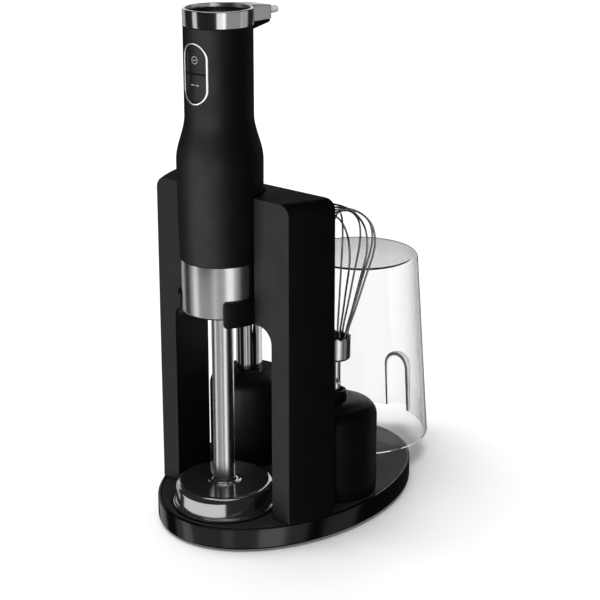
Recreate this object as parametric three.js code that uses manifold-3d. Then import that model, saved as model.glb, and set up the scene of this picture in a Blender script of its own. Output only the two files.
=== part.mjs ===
// Hand mixer set: a stick mixer standing in its tower stand, with a whisk, a masher and a beaker.
// Millimetres, +Z up. The origin is the centre of the oval base, on the surface it stands on.
// The front, with the keys and the mixing bell, faces -Y.

import * as THREE from "three";
import { mergeVertices } from "three/addons/utils/BufferGeometryUtils.js";
import Module from "manifold-3d";

const wasm = await Module();
wasm.setup();

// ---------------------------------------------------------------- fits and facets
const GAP = 0.3; // air left between two pieces that touch
const RUN = 0.5; // clearance round a piece that turns or slides
const THROUGH = 5; // how far a cutting solid runs past the piece that it cuts
const MERGE = 1e-4;
const FINE = 20; // facets round half of the oval base
const ROUND = 24; // facets round a large turned piece
const SMALL = 12; // facets round a small turned piece

// ---------------------------------------------------------------- base
const BASE_HALF_X = 87;
const BASE_HALF_Y = 122.7;
const BASE_H = 19;
const PAD_T = 2; // rubber pad under the base
const PAD_INSET = 4;
const RIM_WALL = 2.6;
const TRAY_FLOOR = 2;
const DECK_T = 4.5;
const BALLAST_T = 6;
const BALLAST_INSET = 9;
const SEAT_DEPTH = 3.2; // round recess that the bell stands in
const SEAT_PAD_T = 1;
const SEAT_CLEARANCE = 1.3;
const POST_R = 7; // post that goes up into each gearbox
const POST_H = 6;

// ---------------------------------------------------------------- mixing leg
const BELL_LIP_R = 41;
const BELL_LIP_H = 3.7;
const BELL_R = 38.6;
const BELL_H = 20;
const BELL_ROUND = 4.6; // radius of the rounded shoulder
const BELL_WALL = 1.5;
const FLARE_R = 12.7; // foot of the tube, where it spreads on the bell
const FLARE_H = 3.4;
const TUBE_R = 8.5;
const TUBE_WALL = 1.2;
const LEG_LENGTH = 163.1; // from the bell's lip to the collar
const COLLAR_R = 30.6;
const COLLAR_H = 41.3;
const COLLAR_WALL = 1.6;
const COLLAR_EDGE = 1.2;
const TUBE_IN_COLLAR = 8;
const SHAFT_R = 3;
const BUSH_L = 8;
const BLADE_R = 26;
const BLADE_T = 1.2;
const BLADE_WIDTH = 11;
const BLADE_Z = 11; // above the bell's lip
const BLADE_HUB_R = 5.5;
const BLADE_HUB_H = 5;
const FRONT_MARGIN = 6.7; // from the bell's lip to the front of the base

// ---------------------------------------------------------------- motor unit
const BODY_FOOT_R = 31.4;
const BODY_R = 32.7;
const NECK_R = 25.9;
const BODY_WALL = 2.4;
const BODY_H = 176.7;
const SHOULDER_LOW = 76.5; // above the foot of the body
const SHOULDER_HIGH = 109.9;
const SPIGOT_L = 14.3; // plugs into the collar
const SPIGOT_WALL = 2.4;
const RING_R = 26.2;
const RING_H = 12.3;
const RING_WALL = 2.2;
const RING_FLOOR = 2;
const DIAL_RECESS = 2.8;
const DIAL_H = 6.5;
const DIAL_RIDGES = 24;
const DIAL_RIDGE = 0.6;
const DIAL_DISH = 1.2;
const SPUR_HALF = 11.5;
const SPUR_END = 46.8;
const SPUR_BLEND = 7;
const SPUR_SLOPE = 0.1;
const WEDGE_HIGH = 2.3; // depth of the black wedge at its end
const WEDGE_LOW = 6; // and where it meets the neck
const WEDGE_INSET = 1;
const GLAND_R = 2.75;
const GLAND_L = 17;

// keys
const PANEL_HALF = 12;
const PANEL_H = 46;
const PANEL_BELOW_TOP = 33; // from the top of the neck to the panel's middle
const BEZEL_W = 1.6;
const BEZEL_PROUD = 0.7;
const BEZEL_DEPTH = 4.8;
const KEY_SUNK = 0.9; // below the neck's surface
const KEY_T = 2.6;
const KEY_SPLIT = 0.6;
const KEY_TRAVEL = 1.2;
const STEM_R = 1.8;
const STEM_L = 0.7;
const SWITCH_HALF = 2.3;
const SWITCH_H = 2.3;
const SPRING_R = 4.2;
const SPRING_WIRE = 0.3;
const SPRING_TURNS = 3;
const BOARD_T = 1.6;
const BOARD_HALF = 13.5;
const BOARD_H = 48;
const POT_R = 9;
const POT_H = 10;
const DIAL_STEM_R = 3;

// motor
const FRAME_WALL = 2;
const FRAME_H = 74;
const FRAME_FLOOR = 3;
const BRIDGE_HALF = 7;
const BRIDGE_H = 8;
const SHAFT_PAST_BRIDGE = 2;
const STATOR_BORE = 15.8;
const STATOR_H = 35;
const ARMATURE_SLOTS = 12;
const SLOT_DEPTH = 3;
const COMMUTATOR_R = 9;
const COMMUTATOR_H = 11;
const FAN_R = 23;
const FAN_H = 6;
const FAN_BLADES = 10;
const FAN_VANE_T = 1.2;
const FAN_DISC_T = 1;
const FAN_UNDER = 2; // air under the fan, and over it
const FAN_OVER = 4;
const BEARING_R = 8;
const BEARING_H = 5;
const HEX_R = 5.9; // drive hexagon, corner radius
const HEX_CLEARANCE = 0.6;
const COUPLER_R = 9;
const COUPLER_H = 10;
const COUPLER_FLOOR = 3;
const HEX_L = 13;

// ---------------------------------------------------------------- tower
const TOWER_H = 255;
const TOWER_CORNER = 9;
const TOWER_WALL = 2.5;
const TOWER_INSET = 0.4; // from the edge of the base
const TOWER_AHEAD = 0.5; // front face ahead of the mixer's axis
const BACK_T = 1.5; // plate that closes the back
const SLOT_SKIN = 1.2; // thinnest wall behind the mixer
const WINDOW_SIDE = 9.8; // from the bell's lip to the window's side
const WINDOW_CORNER = 13;
const CLIP_H = 20;
const CLIP_T = 2.5;
const CLIP_PLAY = 0.4;
const CLIP_DROP = 5.4; // below the foot of the collar
const CLIP_OPENING = Math.PI / 2;
const BODY_CLEARANCE = 1.1;

// ---------------------------------------------------------------- gearboxes
const UNIT_X = 49; // whisk on the right, masher on the left
const GEARBOX_R = 33.3;
const GEARBOX_WALL = 2.5;
const GEARBOX_H = 77; // from its foot to the middle of its domed end
const GEARBOX_ROUND = 11;
const GEARBOX_DOME = 3;
const COVER_T = 5;
const WHISK_BEHIND_TOWER = 7.9;
const MASHER_BEHIND_TOWER = 12.9;
const SLEEVE_R = 9;
const SLEEVE_BORE = 5.6;
const SLEEVE_FOOT = 42; // above the foot of the gearbox
const PINION_TEETH = 8;
const WHEEL_TEETH = 20;
const MESH_PLAY = 0.3;
const TOOTH_UP = 0.55; // of the module
const TOOTH_DOWN = 0.95;
const LAY_AIR = 1.04; // from the lay wheel's teeth to the gearbox wall
const LAY_PIN_R = 2;
const INPUT_Z = 8; // above the foot of the gearbox
const INPUT_H = 11;
const PINION_H = 9;
const STAGE_H = 6;
const STAGE_STEP = 10;

// ---------------------------------------------------------------- whisk
const SOCKET_TOP_R = 6;
const SOCKET_H = 7;
const WHISK_SHAFT_R = 4;
const WHISK_SHAFT_TOP = 110; // above the foot of the gearbox
const WHISK_SHAFT_IN = 30;
const CROSS_PIN_R = 1.6;
const CROSS_PIN_HALF = 8.5;
const CROSS_PIN_UP = 8;
const FERRULE_R = 11.8;
const FERRULE_H = 19.5;
const FERRULE_FLOOR = 8;
const FERRULE_WALL = 1.5;
const WIRE_R = 0.8;
const WIRE_LOOPS = 6;
const WIRE_STEP = 1.95; // each loop crosses this much below the one above
const CAGE_R = 30.5;
const CAGE_H = 117;
const CAGE_FOOT_R = 8.8;

// ---------------------------------------------------------------- masher
const MASHER_TUBE_R = 10.9;
const MASHER_TUBE_WALL = 1.2;
const MASHER_TUBE_L = 103;
const MASHER_HEAD_R = 35;
const MASHER_HEAD_H = 26;
const MASHER_CONE_H = 12;
const MASHER_WALL = 2;
const MASHER_SLOTS = 8;
const SLOT_IN = 2; // half-width of a slot at its inner end, and at its outer end
const SLOT_OUT = 5;
const PADDLE_HALF = 5;
const PADDLE_T = 3;
const PADDLE_INSET = 3;

// ---------------------------------------------------------------- beaker
const BEAKER_X = -12;
const BEAKER_RIM_R = 60.5;
const BEAKER_END_R = 49.5;
const BEAKER_H = 161.1;
const BEAKER_WALL = 2.4;
const BEAKER_ROUND = 4;
const BEAKER_CLEARANCE = 13.8; // from the masher's gearbox to the rim
const SPOUT_R = 13.75;
const SPOUT_H = 54;
const SPOUT_INSET = 3; // the spout's axis, inside the rim

// ---------------------------------------------------------------- what follows from these sizes
const DECK_TOP = BASE_H;
const ON_DECK = DECK_TOP + GAP;
const SEAT_FLOOR = DECK_TOP - SEAT_DEPTH;
const BELL_FOOT = SEAT_FLOOR + GAP + SEAT_PAD_T + GAP;
const BELL_TOP = BELL_FOOT + BELL_H;
const COLLAR_FOOT = BELL_FOOT + LEG_LENGTH;
const COLLAR_TOP = COLLAR_FOOT + COLLAR_H;
const BODY_FOOT = COLLAR_TOP + GAP;
const NECK_TOP = BODY_FOOT + BODY_H;
const RING_FOOT = NECK_TOP + GAP;
const RING_TOP = RING_FOOT + RING_H;
const MIXER_Y = -BASE_HALF_Y + BELL_LIP_R + FRONT_MARGIN;

const CLIP_BORE = COLLAR_R + CLIP_PLAY;
const CLIP_R = CLIP_BORE + CLIP_T;
const SLOT_R = Math.max(CLIP_R + GAP, BODY_R + BODY_CLEARANCE);
const CLIP_FOOT = COLLAR_FOOT - CLIP_DROP;
const WINDOW_TOP = CLIP_FOOT - GAP;
const WINDOW_HALF = BELL_LIP_R + WINDOW_SIDE;
const TOWER_FRONT = MIXER_Y - TOWER_AHEAD;
const TOWER_BACK = MIXER_Y + SLOT_R + SLOT_SKIN + GAP + BACK_T;
const TOWER_TOP = DECK_TOP + TOWER_H;

const WHISK_Y = TOWER_BACK + WHISK_BEHIND_TOWER + GEARBOX_R;
const MASHER_Y = TOWER_BACK + MASHER_BEHIND_TOWER + GEARBOX_R;
const BEAKER_REACH = GEARBOX_R + BEAKER_RIM_R + BEAKER_CLEARANCE;
const BEAKER_Y = MASHER_Y + Math.sqrt(BEAKER_REACH ** 2 - (BEAKER_X + UNIT_X) ** 2);

// The gears fill the gearbox: modules from its middle to the tip of the lay wheel's furthest tooth.
const TRAIN_REACH = PINION_TEETH / 2 + WHEEL_TEETH + TOOTH_UP;
const MODULE = (GEARBOX_R - GEARBOX_WALL - LAY_AIR - MESH_PLAY) / TRAIN_REACH;

// ---------------------------------------------------------------- materials
function finish(color, roughness, metalness) {
  return new THREE.MeshStandardMaterial({ color, roughness, metalness });
}
const softBlack = finish(0x1c1c1d, 0.6, 0);
const mattBlack = finish(0x222223, 0.65, 0);
const glossBlack = finish(0x0b0b0c, 0.12, 0);
const chrome = finish(0xd8d9da, 0.08, 1);
const polishedSteel = finish(0xc4c6c8, 0.14, 1);
const brushedSteel = finish(0xa4a6a8, 0.35, 1);
const rubber = finish(0x18181a, 0.9, 0);
const greyPlastic = finish(0xa9abad, 0.5, 0);
const nylon = finish(0xe4e1d6, 0.5, 0);
const laminate = finish(0x54565a, 0.5, 0.8);
const copper = finish(0xb06a3a, 0.4, 0.9);
const boardGreen = finish(0x20563a, 0.6, 0);
const clear = finish(0xeef2f3, 0.05, 0);
clear.transparent = true;
clear.opacity = 0.3;

// ---------------------------------------------------------------- solids from geometries
function solidOf(geometry) {
  const bare = geometry.clone();
  bare.deleteAttribute("normal");
  bare.deleteAttribute("uv");
  const merged = mergeVertices(bare, MERGE);
  return new wasm.Manifold(
    new wasm.Mesh({
      numProp: 3,
      vertProperties: merged.attributes.position.array,
      triVerts: new Uint32Array(merged.index.array),
    }),
  );
}

function geometryOf(solid) {
  const mesh = solid.getMesh();
  return new THREE.BufferGeometry()
    .setAttribute("position", new THREE.BufferAttribute(mesh.vertProperties, 3))
    .setIndex(new THREE.BufferAttribute(mesh.triVerts, 1));
}

// First geometry with the others joined to it.
function joined(...geometries) {
  return geometryOf(geometries.map(solidOf).reduce((a, b) => a.add(b)));
}

// First geometry with the others cut out of it.
function cut(...geometries) {
  return geometryOf(geometries.map(solidOf).reduce((a, b) => a.subtract(b)));
}

function common(first, second) {
  return geometryOf(solidOf(first).intersect(solidOf(second)));
}

// A solid turned round the Z axis from [radius, height] pairs.
// The pairs start and end on the axis, or go once round the section.
function turned(pairs, facets = ROUND) {
  const onAxis = pairs[0][0] === 0 && pairs.at(-1)[0] === 0;
  const ring = onAxis ? pairs : [...pairs, pairs[0]];
  let area = 0;
  ring.forEach(([r, z], i) => {
    const [nextR, nextZ] = ring[(i + 1) % ring.length];
    area += r * nextZ - nextR * z;
  });
  const points = ring.map(([r, z]) => new THREE.Vector2(r, z));
  if (area < 0) points.reverse();
  return new THREE.LatheGeometry(points, facets).rotateX(Math.PI / 2);
}

function rod(radius, low, high, facets = SMALL) {
  return turned([[0, low], [radius, low], [radius, high], [0, high]], facets);
}

function tube(radius, bore, low, high, facets = SMALL) {
  return turned([[bore, low], [radius, low], [radius, high], [bore, high]], facets);
}

// A box from its two corners.
function block(low, high) {
  const size = high.map((v, i) => v - low[i]);
  const middle = high.map((v, i) => (v + low[i]) / 2);
  return new THREE.BoxGeometry(...size).translate(...middle);
}

// A shape drawn in X and Y, as thick as from low to high.
function plate(shape, low, high, curveSegments = 12, steps = 1) {
  const options = { depth: high - low, bevelEnabled: false, curveSegments, steps };
  return new THREE.ExtrudeGeometry(shape, options).translate(0, 0, low);
}

// A shape drawn in X and Z, reaching from front to back along Y.
function facade(shape, front, back, curveSegments = 12, steps = 1) {
  const options = { depth: back - front, bevelEnabled: false, curveSegments, steps };
  const geometry = new THREE.ExtrudeGeometry(shape, options);
  return geometry.rotateX(Math.PI / 2).translate(0, back, 0);
}

// A round bar along a curve.
function bar(curve, radius, sides, steps) {
  const section = new THREE.Shape();
  section.absarc(0, 0, radius, 0, 2 * Math.PI);
  const options = { extrudePath: curve, steps, curveSegments: sides / 2 };
  return new THREE.ExtrudeGeometry(section, options);
}

function polygon(points) {
  return new THREE.Shape(points.map(([x, y]) => new THREE.Vector2(x, y)));
}

function regular(corners, radius) {
  const points = [];
  for (let i = 0; i < corners; i++) {
    const angle = (i * 2 * Math.PI) / corners;
    points.push([radius * Math.cos(angle), radius * Math.sin(angle)]);
  }
  return polygon(points);
}

// An upright shape with half-round ends, from low to high.
function stadium(half, low, high) {
  const shape = new THREE.Shape();
  shape.absarc(0, high - half, half, 0, Math.PI);
  shape.absarc(0, low + half, half, Math.PI, 2 * Math.PI);
  return shape;
}

const group = new THREE.Group();

function add(name, geometry, material, x = 0, y = 0) {
  const mesh = new THREE.Mesh(geometry, material);
  mesh.name = name;
  mesh.position.set(x, y, 0);
  group.add(mesh);
}

// ---------------------------------------------------------------- base
function oval(inset) {
  const shape = new THREE.Shape();
  shape.absellipse(0, 0, BASE_HALF_X - inset, BASE_HALF_Y - inset, 0, 2 * Math.PI);
  return shape;
}

function ovalPlate(inset, low, high) {
  return plate(oval(inset), low, high, FINE);
}

const trayFoot = PAD_T + GAP;
const trayInside = trayFoot + TRAY_FLOOR;
const rimInset = RIM_WALL + GAP;
const edgeRound = 1; // chamfer on the rim's top edge
const rimTop = joined(
  ovalPlate(0, trayFoot, DECK_TOP - edgeRound),
  ovalPlate(edgeRound / 2, DECK_TOP - edgeRound - GAP, DECK_TOP),
);
add("base_tray", cut(rimTop, ovalPlate(RIM_WALL, trayInside, DECK_TOP + THROUGH)), glossBlack);
add("base_pad", ovalPlate(PAD_INSET, 0, PAD_T), rubber);

const ballastFoot = trayInside + GAP;
add("ballast_plate", ovalPlate(BALLAST_INSET, ballastFoot, ballastFoot + BALLAST_T), brushedSteel);

const seatR = BELL_LIP_R + SEAT_CLEARANCE;
const whiskPost = rod(POST_R, DECK_TOP - GAP, DECK_TOP + POST_H).translate(UNIT_X, WHISK_Y, 0);
const masherPost = rod(POST_R, DECK_TOP - GAP, DECK_TOP + POST_H).translate(-UNIT_X, MASHER_Y, 0);
const seatCut = rod(seatR, SEAT_FLOOR, DECK_TOP + THROUGH, ROUND).translate(0, MIXER_Y, 0);
const deck = cut(ovalPlate(rimInset, DECK_TOP - DECK_T, DECK_TOP), seatCut);
add("base_deck", joined(deck, whiskPost, masherPost), mattBlack);
const seatPad = rod(seatR - GAP, SEAT_FLOOR + GAP, SEAT_FLOOR + GAP + SEAT_PAD_T, ROUND);
add("seat_pad", seatPad, rubber, 0, MIXER_Y);

// ---------------------------------------------------------------- tower
// Half-width of the oval base, less an inset, at a distance y from its middle.
function ovalHalf(y, inset) {
  return BASE_HALF_X * Math.sqrt(1 - (y / BASE_HALF_Y) ** 2) - inset;
}

// The outline of the tower, whose sides follow the oval of the base from front to back.
function towerBlock(inset, low, high, corner, front, back) {
  const half = ovalHalf(front, inset);
  const shape = new THREE.Shape();
  shape.moveTo(-half, low);
  shape.lineTo(half, low);
  shape.absarc(half - corner, high - corner, corner, 0, Math.PI / 2);
  shape.absarc(corner - half, high - corner, corner, Math.PI / 2, Math.PI);
  const geometry = facade(shape, front, back, 5, 4);
  const position = geometry.attributes.position;
  for (let i = 0; i < position.count; i++) {
    const spread = ovalHalf(position.getY(i), inset) / half;
    position.setX(i, position.getX(i) * spread);
  }
  return geometry;
}

function windowBlock(grow, front, back) {
  const half = WINDOW_HALF + grow;
  const top = WINDOW_TOP + grow;
  const corner = WINDOW_CORNER + grow;
  const shape = new THREE.Shape();
  shape.moveTo(-half, DECK_TOP - THROUGH);
  shape.lineTo(half, DECK_TOP - THROUGH);
  shape.absarc(half - corner, top - corner, corner, 0, Math.PI / 2);
  shape.absarc(corner - half, top - corner, corner, Math.PI / 2, Math.PI);
  return facade(shape, front, back, 5);
}

const shellBack = TOWER_BACK - BACK_T - GAP;
const towerOuter = towerBlock(TOWER_INSET, ON_DECK, TOWER_TOP, TOWER_CORNER, TOWER_FRONT, shellBack);
const towerInner = towerBlock(
  TOWER_INSET + TOWER_WALL,
  ON_DECK - THROUGH,
  TOWER_TOP - TOWER_WALL,
  TOWER_CORNER - TOWER_WALL,
  TOWER_FRONT + TOWER_WALL,
  shellBack + THROUGH,
);
const towerWindow = windowBlock(0, TOWER_FRONT - THROUGH, TOWER_BACK + THROUGH);
const windowFrame = windowBlock(TOWER_WALL, TOWER_FRONT, TOWER_BACK + THROUGH);
const slotFoot = WINDOW_TOP - TOWER_WALL;
function slot(radius, high) {
  const round = rod(radius, slotFoot, high, ROUND).translate(0, MIXER_Y, 0);
  const ahead = block(
    [-radius, TOWER_FRONT - THROUGH, slotFoot],
    [radius, MIXER_Y, high],
  );
  return joined(round, ahead);
}
const hollow = cut(towerInner, windowFrame, slot(SLOT_R + TOWER_WALL, TOWER_TOP + THROUGH));
const bodySlot = slot(SLOT_R, TOWER_TOP + THROUGH);
add("tower_shell", cut(towerOuter, hollow, towerWindow, bodySlot), mattBlack);
const backPlate = towerBlock(
  TOWER_INSET,
  ON_DECK,
  TOWER_TOP,
  TOWER_CORNER,
  TOWER_BACK - BACK_T,
  TOWER_BACK,
);
add("tower_back_cover", cut(backPlate, towerWindow), mattBlack);

// Open ring that grips the collar, with its opening to the front.
const clipHalfAngle = Math.PI - CLIP_OPENING / 2;
const clipShape = new THREE.Shape();
const toBack = Math.PI / 2;
clipShape.absarc(0, 0, CLIP_R, toBack - clipHalfAngle, toBack + clipHalfAngle);
clipShape.absarc(0, 0, CLIP_BORE, toBack + clipHalfAngle, toBack - clipHalfAngle, true);
add("leg_clip", plate(clipShape, CLIP_FOOT, CLIP_FOOT + CLIP_H, FINE), mattBlack, 0, MIXER_Y);

// ---------------------------------------------------------------- mixing leg
function arc(centreR, centreZ, radius, from, to, steps) {
  const points = [];
  for (let i = 0; i <= steps; i++) {
    const angle = from + ((to - from) * i) / steps;
    points.push([centreR + radius * Math.cos(angle), centreZ + radius * Math.sin(angle)]);
  }
  return points;
}

const bellSide = BELL_R - BELL_ROUND;
const bellShoulder = BELL_TOP - BELL_ROUND;
const bellInside = Math.max(BELL_ROUND - BELL_WALL, GAP);
const flareTop = BELL_TOP + FLARE_H;
const tubeHole = TUBE_R + GAP;
add("blade_bell", turned([
  [BELL_LIP_R, BELL_FOOT],
  [BELL_LIP_R, BELL_FOOT + BELL_LIP_H],
  [BELL_R, BELL_FOOT + BELL_LIP_H],
  ...arc(bellSide, bellShoulder, BELL_ROUND, 0, Math.PI / 2, 4),
  [FLARE_R, BELL_TOP],
  [tubeHole + (FLARE_R - tubeHole) / 3, BELL_TOP + FLARE_H / 3],
  [tubeHole + BELL_WALL / 2, flareTop],
  [tubeHole, flareTop],
  [tubeHole, BELL_TOP - BELL_WALL],
  ...arc(bellSide, bellShoulder, bellInside, Math.PI / 2, 0, 2),
  [BELL_R - BELL_WALL, BELL_FOOT],
]), chrome, 0, MIXER_Y);

const tubeFoot = BELL_TOP - BELL_WALL;
const tubeTop = COLLAR_FOOT + TUBE_IN_COLLAR;
const tubeBore = TUBE_R - TUBE_WALL;
add("leg_tube", tube(TUBE_R, tubeBore, tubeFoot, tubeTop), polishedSteel, 0, MIXER_Y);
add("leg_collar", turned([
  [tubeHole, COLLAR_FOOT],
  [COLLAR_R - COLLAR_EDGE, COLLAR_FOOT],
  [COLLAR_R, COLLAR_FOOT + COLLAR_EDGE],
  [COLLAR_R, COLLAR_TOP],
  [COLLAR_R - COLLAR_WALL, COLLAR_TOP],
  [COLLAR_R - COLLAR_WALL, COLLAR_FOOT + COLLAR_EDGE + COLLAR_WALL],
  [tubeHole, COLLAR_FOOT + COLLAR_EDGE + COLLAR_WALL],
]), polishedSteel, 0, MIXER_Y);

const bushR = tubeBore - GAP;
const shaftBore = SHAFT_R + GAP;
const lowBush = tubeFoot + GAP;
const highBush = tubeTop - BUSH_L;
add("leg_seal", tube(bushR, shaftBore, lowBush, lowBush + BUSH_L), rubber, 0, MIXER_Y);
add("leg_bush", tube(bushR, shaftBore, highBush, highBush + BUSH_L), nylon, 0, MIXER_Y);

const bladeZ = BELL_FOOT + BLADE_Z;
const couplerFoot = tubeTop + GAP;
const driveTop = couplerFoot + COUPLER_FLOOR - 2 * GAP;
add("drive_shaft", rod(SHAFT_R, bladeZ - BLADE_HUB_H / 2, driveTop), brushedSteel, 0, MIXER_Y);

// Two wings, each with a raked leading edge.
function bladeWing() {
  const half = BLADE_WIDTH / 2;
  const shape = new THREE.Shape();
  shape.moveTo(0, -half);
  shape.quadraticCurveTo(BLADE_R * 0.6, -half, BLADE_R, half / 2);
  shape.quadraticCurveTo(BLADE_R * 0.8, half, 0, half);
  return plate(shape, bladeZ - BLADE_T / 2, bladeZ + BLADE_T / 2, 6);
}
const bladeHub = rod(BLADE_HUB_R, bladeZ - BLADE_HUB_H / 2, bladeZ + BLADE_HUB_H / 2);
const bladeBore = rod(shaftBore, bladeZ - BLADE_HUB_H, bladeZ + BLADE_HUB_H);
const bladeForm = joined(bladeHub, bladeWing(), bladeWing().rotateZ(Math.PI));
add("blade", cut(bladeForm, bladeBore), brushedSteel, 0, MIXER_Y);

const couplerTop = couplerFoot + COUPLER_H;
const couplerHole = rod(shaftBore, couplerFoot - THROUGH, couplerFoot + COUPLER_FLOOR - GAP);
const couplerPocket = plate(
  regular(6, HEX_R + HEX_CLEARANCE),
  couplerFoot + COUPLER_FLOOR,
  couplerTop + THROUGH,
);
const couplerBlank = rod(COUPLER_R, couplerFoot, couplerTop);
add("leg_coupler", cut(couplerBlank, couplerHole, couplerPocket), nylon, 0, MIXER_Y);

// ---------------------------------------------------------------- motor unit casing
// Outside radius of the body, at a height above its foot.
function bodyRadius(height) {
  if (height <= SHOULDER_LOW) {
    return BODY_FOOT_R + ((BODY_R - BODY_FOOT_R) * height) / SHOULDER_LOW;
  }
  const t = Math.min((height - SHOULDER_LOW) / (SHOULDER_HIGH - SHOULDER_LOW), 1);
  return BODY_R + (NECK_R - BODY_R) * t * t * (3 - 2 * t);
}

const bodyLevels = [0, SHOULDER_LOW / 2];
const shoulderSteps = 6;
for (let i = 0; i <= shoulderSteps; i++) {
  bodyLevels.push(SHOULDER_LOW + ((SHOULDER_HIGH - SHOULDER_LOW) * i) / shoulderSteps);
}
bodyLevels.push(BODY_H);
const outside = bodyLevels.map((h) => [bodyRadius(h), BODY_FOOT + h]);
const inside = bodyLevels.slice(1).map((h) => [bodyRadius(h) - BODY_WALL, BODY_FOOT + h]);
const spigotR = COLLAR_R - COLLAR_WALL - RUN;
const spigotBore = spigotR - SPIGOT_WALL;
const casing = turned([
  [spigotR, BODY_FOOT - SPIGOT_L],
  [spigotR, BODY_FOOT],
  ...outside,
  ...inside.reverse(),
  [BODY_FOOT_R - BODY_WALL, BODY_FOOT + BODY_WALL],
  [spigotBore, BODY_FOOT + BODY_WALL],
  [spigotBore, BODY_FOOT - SPIGOT_L],
]);
const panelMid = NECK_TOP - PANEL_BELOW_TOP;
const panelLow = panelMid - PANEL_H / 2;
const panelHigh = panelMid + PANEL_H / 2;
const neckAhead = -NECK_R - THROUGH;
const panelHole = facade(
  stadium(PANEL_HALF + GAP, panelLow - GAP, panelHigh + GAP),
  neckAhead,
  -NECK_R / 2,
);
add("motor_casing", cut(casing, panelHole), softBlack, 0, MIXER_Y);

// A wall that follows the neck, between two radii, cut to a shape seen from the front.
function curvedPanel(shape, bore, radius) {
  const wall = tube(radius, bore, panelLow - THROUGH, panelHigh + THROUGH, 2 * ROUND);
  return common(wall, facade(shape, neckAhead, -NECK_R / 3));
}
const bezelShape = stadium(PANEL_HALF, panelLow, panelHigh);
const keyHalf = PANEL_HALF - BEZEL_W - GAP;
const bezelBore = keyHalf + GAP;
bezelShape.holes.push(stadium(bezelBore, panelLow + BEZEL_W, panelHigh - BEZEL_W));
const bezelR = NECK_R + BEZEL_PROUD;
add("key_bezel", curvedPanel(bezelShape, bezelR - BEZEL_DEPTH, bezelR), chrome, 0, MIXER_Y);

// Spring, switch and key share the panel's upper and lower half.
const keyR = NECK_R - KEY_SUNK;
const keyBack = keyR - KEY_T;
const boardFront = -(keyBack - STEM_L - KEY_TRAVEL - GAP - SWITCH_H - GAP);
const keyEnd = BEZEL_W + GAP;
function keyShape(upper) {
  const shape = new THREE.Shape();
  const split = KEY_SPLIT / 2;
  if (upper) {
    shape.moveTo(-keyHalf, panelMid + split);
    shape.lineTo(keyHalf, panelMid + split);
    shape.absarc(0, panelHigh - keyEnd - keyHalf, keyHalf, 0, Math.PI);
  } else {
    shape.moveTo(keyHalf, panelMid - split);
    shape.lineTo(-keyHalf, panelMid - split);
    shape.absarc(0, panelLow + keyEnd + keyHalf, keyHalf, Math.PI, 2 * Math.PI);
  }
  return shape;
}

// A round rod along Y at a height.
function rodAlongY(radius, front, back, height) {
  const round = new THREE.CylinderGeometry(radius, radius, back - front, SMALL);
  return round.translate(0, (front + back) / 2, height);
}

const springStart = -(Math.sqrt(keyBack ** 2 - (SPRING_R + SPRING_WIRE) ** 2) - GAP - SPRING_WIRE);
const springEnd = boardFront - GAP - SPRING_WIRE;
class Coil extends THREE.Curve {
  constructor(height) {
    super();
    this.height = height;
  }
  getPoint(t, target = new THREE.Vector3()) {
    const angle = t * SPRING_TURNS * 2 * Math.PI;
    const along = springStart + (springEnd - springStart) * t;
    return target.set(
      SPRING_R * Math.cos(angle),
      along,
      this.height + SPRING_R * Math.sin(angle),
    );
  }
}

for (const [name, upper] of [["power", true], ["turbo", false]]) {
  const height = panelMid + ((upper ? 1 : -1) * (PANEL_H / 2 - keyEnd)) / 2;
  const stem = rodAlongY(STEM_R, -keyBack - GAP, -keyBack + STEM_L, height);
  const key = joined(curvedPanel(keyShape(upper), keyBack, keyR), stem);
  add(name + "_key", key, mattBlack, 0, MIXER_Y);
  const switchBack = boardFront - GAP;
  const housing = block(
    [-SWITCH_HALF, switchBack - SWITCH_H, height - SWITCH_HALF],
    [SWITCH_HALF, switchBack, height + SWITCH_HALF],
  );
  add(name + "_switch", housing, mattBlack, 0, MIXER_Y);
  const spring = bar(new Coil(height), SPRING_WIRE, 4, SPRING_TURNS * 10);
  add(name + "_key_spring", spring, brushedSteel, 0, MIXER_Y);
}
add("control_board", block(
  [-BOARD_HALF, boardFront, panelMid - BOARD_H / 2],
  [BOARD_HALF, boardFront + BOARD_T, panelMid + BOARD_H / 2],
), boardGreen, 0, MIXER_Y);

// ---------------------------------------------------------------- top ring, dial and spur
function ringShape() {
  const blendY = Math.sqrt((RING_R + SPUR_BLEND) ** 2 - (SPUR_HALF + SPUR_BLEND) ** 2);
  const blend = Math.atan2(blendY, SPUR_HALF + SPUR_BLEND);
  const shape = new THREE.Shape();
  shape.moveTo(SPUR_HALF, SPUR_END);
  shape.lineTo(-SPUR_HALF, SPUR_END);
  shape.absarc(-SPUR_HALF - SPUR_BLEND, blendY, SPUR_BLEND, 0, -blend, true);
  shape.absarc(0, 0, RING_R, Math.PI - blend, 2 * Math.PI + blend);
  shape.absarc(SPUR_HALF + SPUR_BLEND, blendY, SPUR_BLEND, Math.PI + blend, Math.PI, true);
  return shape;
}
const ringBlank = plate(ringShape(), RING_FOOT, RING_TOP, 14);
const ringPoints = ringBlank.attributes.position;
for (let i = 0; i < ringPoints.count; i++) {
  const past = ringPoints.getY(i) - NECK_R;
  if (past > 0 && ringPoints.getZ(i) > RING_FOOT + RING_H / 2) {
    ringPoints.setZ(i, ringPoints.getZ(i) - past * SPUR_SLOPE);
  }
}
const dialBore = RING_R - RING_WALL;
const dialFoot = RING_FOOT + RING_FLOOR;
const ringBore = rod(dialBore, dialFoot, RING_TOP + THROUGH, ROUND);
const stemHole = rod(DIAL_STEM_R + RUN, RING_FOOT - THROUGH, RING_TOP);
add("top_ring", cut(ringBlank, ringBore, stemHole), chrome, 0, MIXER_Y);

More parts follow.
